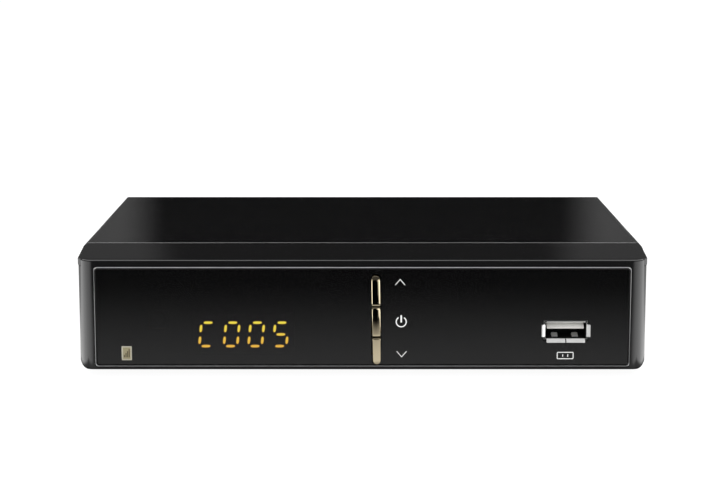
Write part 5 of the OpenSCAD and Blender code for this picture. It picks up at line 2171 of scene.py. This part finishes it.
    def mirrored_level(self, wiring: Wiring, axes: bpy.types.bpy_prop_collection, off: Socket) -> Socket:
        """Grades the floor as gloss shows it: dim close under the box and fading out ahead of it.

        Args:
            wiring: the floor's nodes.
            axes: coordinates of a point of the floor.
            off: how far it lies outside the footprint of the box.

        Returns:
            The socket that holds the brightness.
        """
        ahead = wiring.sum("SUBTRACT", FRONT_Y * MM, axes["Y"])
        faded = wiring.ramp(ahead, *self.fade, self.near_level, 0.0)
        near, far, least = self.contact
        front = wiring.sum("MULTIPLY", faded, wiring.ramp(off, near, far, least, 1.0))
        beside = wiring.sum("SUBTRACT", wiring.sum("ABSOLUTE", axes["X"]), self.corner[0])
        before = wiring.sum("SUBTRACT", self.corner[1], axes["Y"])
        turn = wiring.sum("ARCTAN2", beside, before)
        start, end = (math.radians(angle) for angle in self.side_turn)
        rise = wiring.sum("DIVIDE", wiring.sum("SUBTRACT", turn, start), end - start, clamp=True)
        rise = wiring.sum("POWER", rise, self.side_bend)
        fall_start, fall_end = (math.radians(angle) for angle in self.side_fall[:2])
        fall = wiring.ramp(turn, fall_start, fall_end, self.side_level, self.side_level * self.side_fall[2])
        side = wiring.sum("MULTIPLY", wiring.sum("MULTIPLY", rise, fall), wiring.ramp(off, *self.side_off))
        side = wiring.sum("MULTIPLY", side, wiring.ramp(axes["Y"], *self.side_back))
        return wiring.sum("ADD", front, side)

    def add_lamp(self, name: str, at: Vector, aim: Vector, across: Vector, size: Point, level: float) -> None:
        """Adds one soft lamp.

        Args:
            name: its name.
            at: its place.
            aim: the direction in which it shines.
            across: the direction of its width.
            size: its width and height.
            level: its brightness, where 1 is white.
        """
        lamp = bpy.data.lights.new(name, "AREA")
        lamp.shape = "RECTANGLE"
        lamp.size, lamp.size_y = size
        lamp.energy = level * math.pi * size[0] * size[1]
        carrier = link(name, lamp)
        depth = -aim.normalized()
        upward = depth.cross(across).normalized()
        axes = Matrix((upward.cross(depth), upward, depth)).transposed()
        carrier.matrix_world = Matrix.Translation(at) @ axes.to_4x4()
        carrier.visible_camera = False
        carrier.visible_glossy = False

    def build_lamps(self) -> None:
        """Hangs the overhead lamp and a soft fill in front."""
        rows = (
            ("overhead_lamp", self.overhead_at, self.overhead_size, self.overhead_level),
            ("front_fill", self.fill_at, self.fill_size, self.fill_level),
        )
        for name, at, size, level in rows:
            self.add_lamp(name, Vector(at), -Vector(at), Vector((1.0, 0.0, 0.0)), size, level)

    def build_world(self) -> None:
        """Makes the surroundings: white to the camera, darker behind the box in reflections."""
        world = bpy.data.worlds.new("studio")
        bpy.context.scene.world = world
        wiring = fresh_nodes(world)
        rays = wiring.add("ShaderNodeLightPath").outputs
        place = wiring.add("ShaderNodeTexCoord").outputs["Generated"]
        aim = wiring.add("ShaderNodeSeparateXYZ", {0: place}).outputs
        ahead = wiring.sum("MAXIMUM", aim["Y"], TINY)
        before = wiring.sum("MAXIMUM", wiring.sum("MULTIPLY", aim["Y"], -1.0), 0.0)
        slant = wiring.sum("DIVIDE", wiring.sum("ADD", wiring.sum("ABSOLUTE", aim["X"]), before), ahead)
        low = wiring.ramp(slant, *self.sector, self.dark_level, self.light_level)
        low = wiring.sum("ADD", low, wiring.ramp(slant, *self.wide, 0.0, self.wide_level))
        low = wiring.sum("ADD", low, wiring.ramp(aim["Z"], *self.brow_z, 0.0, self.brow_level))
        low = wiring.sum("MULTIPLY", low, wiring.ramp(aim["Y"], *self.front_dim))
        dome = wiring.ramp(aim["Y"], *self.zenith_y, self.zenith_level, self.high_level)
        high = wiring.sum("MULTIPLY", wiring.ramp(aim["Z"], *self.high_z), dome)
        rise = wiring.ramp(aim["Z"], *self.strip[:2], 0.0, self.strip_level)
        fall = wiring.ramp(aim["Z"], *self.strip[2:], 1.0, 0.0)
        inward = wiring.ramp(slant, *self.strip_side, 1.0, 0.0)
        strip = wiring.sum("MULTIPLY", wiring.sum("MULTIPLY", rise, fall), inward)
        mirrored = wiring.sum("ADD", wiring.sum("ADD", low, high), strip)
        change = wiring.sum("SUBTRACT", mirrored, self.ambient)
        unseen = wiring.sum("MULTIPLY_ADD", change, rays["Is Glossy Ray"], self.ambient)
        seen = wiring.sum("MAXIMUM", rays["Is Camera Ray"], rays["Is Transmission Ray"])
        level = wiring.sum("MULTIPLY_ADD", wiring.sum("SUBTRACT", 1.0, unseen), seen, unseen)
        sky = wiring.add("ShaderNodeBackground", {"Color": WHITE, "Strength": level})
        way_out = wiring.add("ShaderNodeOutputWorld")
        wiring.join(sky.outputs[0], way_out.inputs["Surface"])

    def build_camera(self) -> None:
        """Sets the camera at the angle of the picture."""
        camera = bpy.data.cameras.new("camera")
        camera.lens = self.lens
        camera.sensor_width = self.sensor
        carrier = link("camera", camera)
        carrier.location = self.camera_at
        carrier.rotation_euler = (math.radians(QUARTER_TURN - self.camera_dip), 0.0, 0.0)
        bpy.context.scene.camera = carrier


def main() -> None:
    """Sets the stage and builds the box, one sub-assembly after another."""
    logging.basicConfig(level=logging.INFO, format="%(name)s: %(message)s")
    Studio().build()
    for part in (CaseShells(), FrontPanel(), KeyStrip(), Readout(), DataPort(), RearPanel(), Boards()):
        LOG.info("building %s", type(part).__name__)
        part.build()


if __name__ == "__main__":
    main()
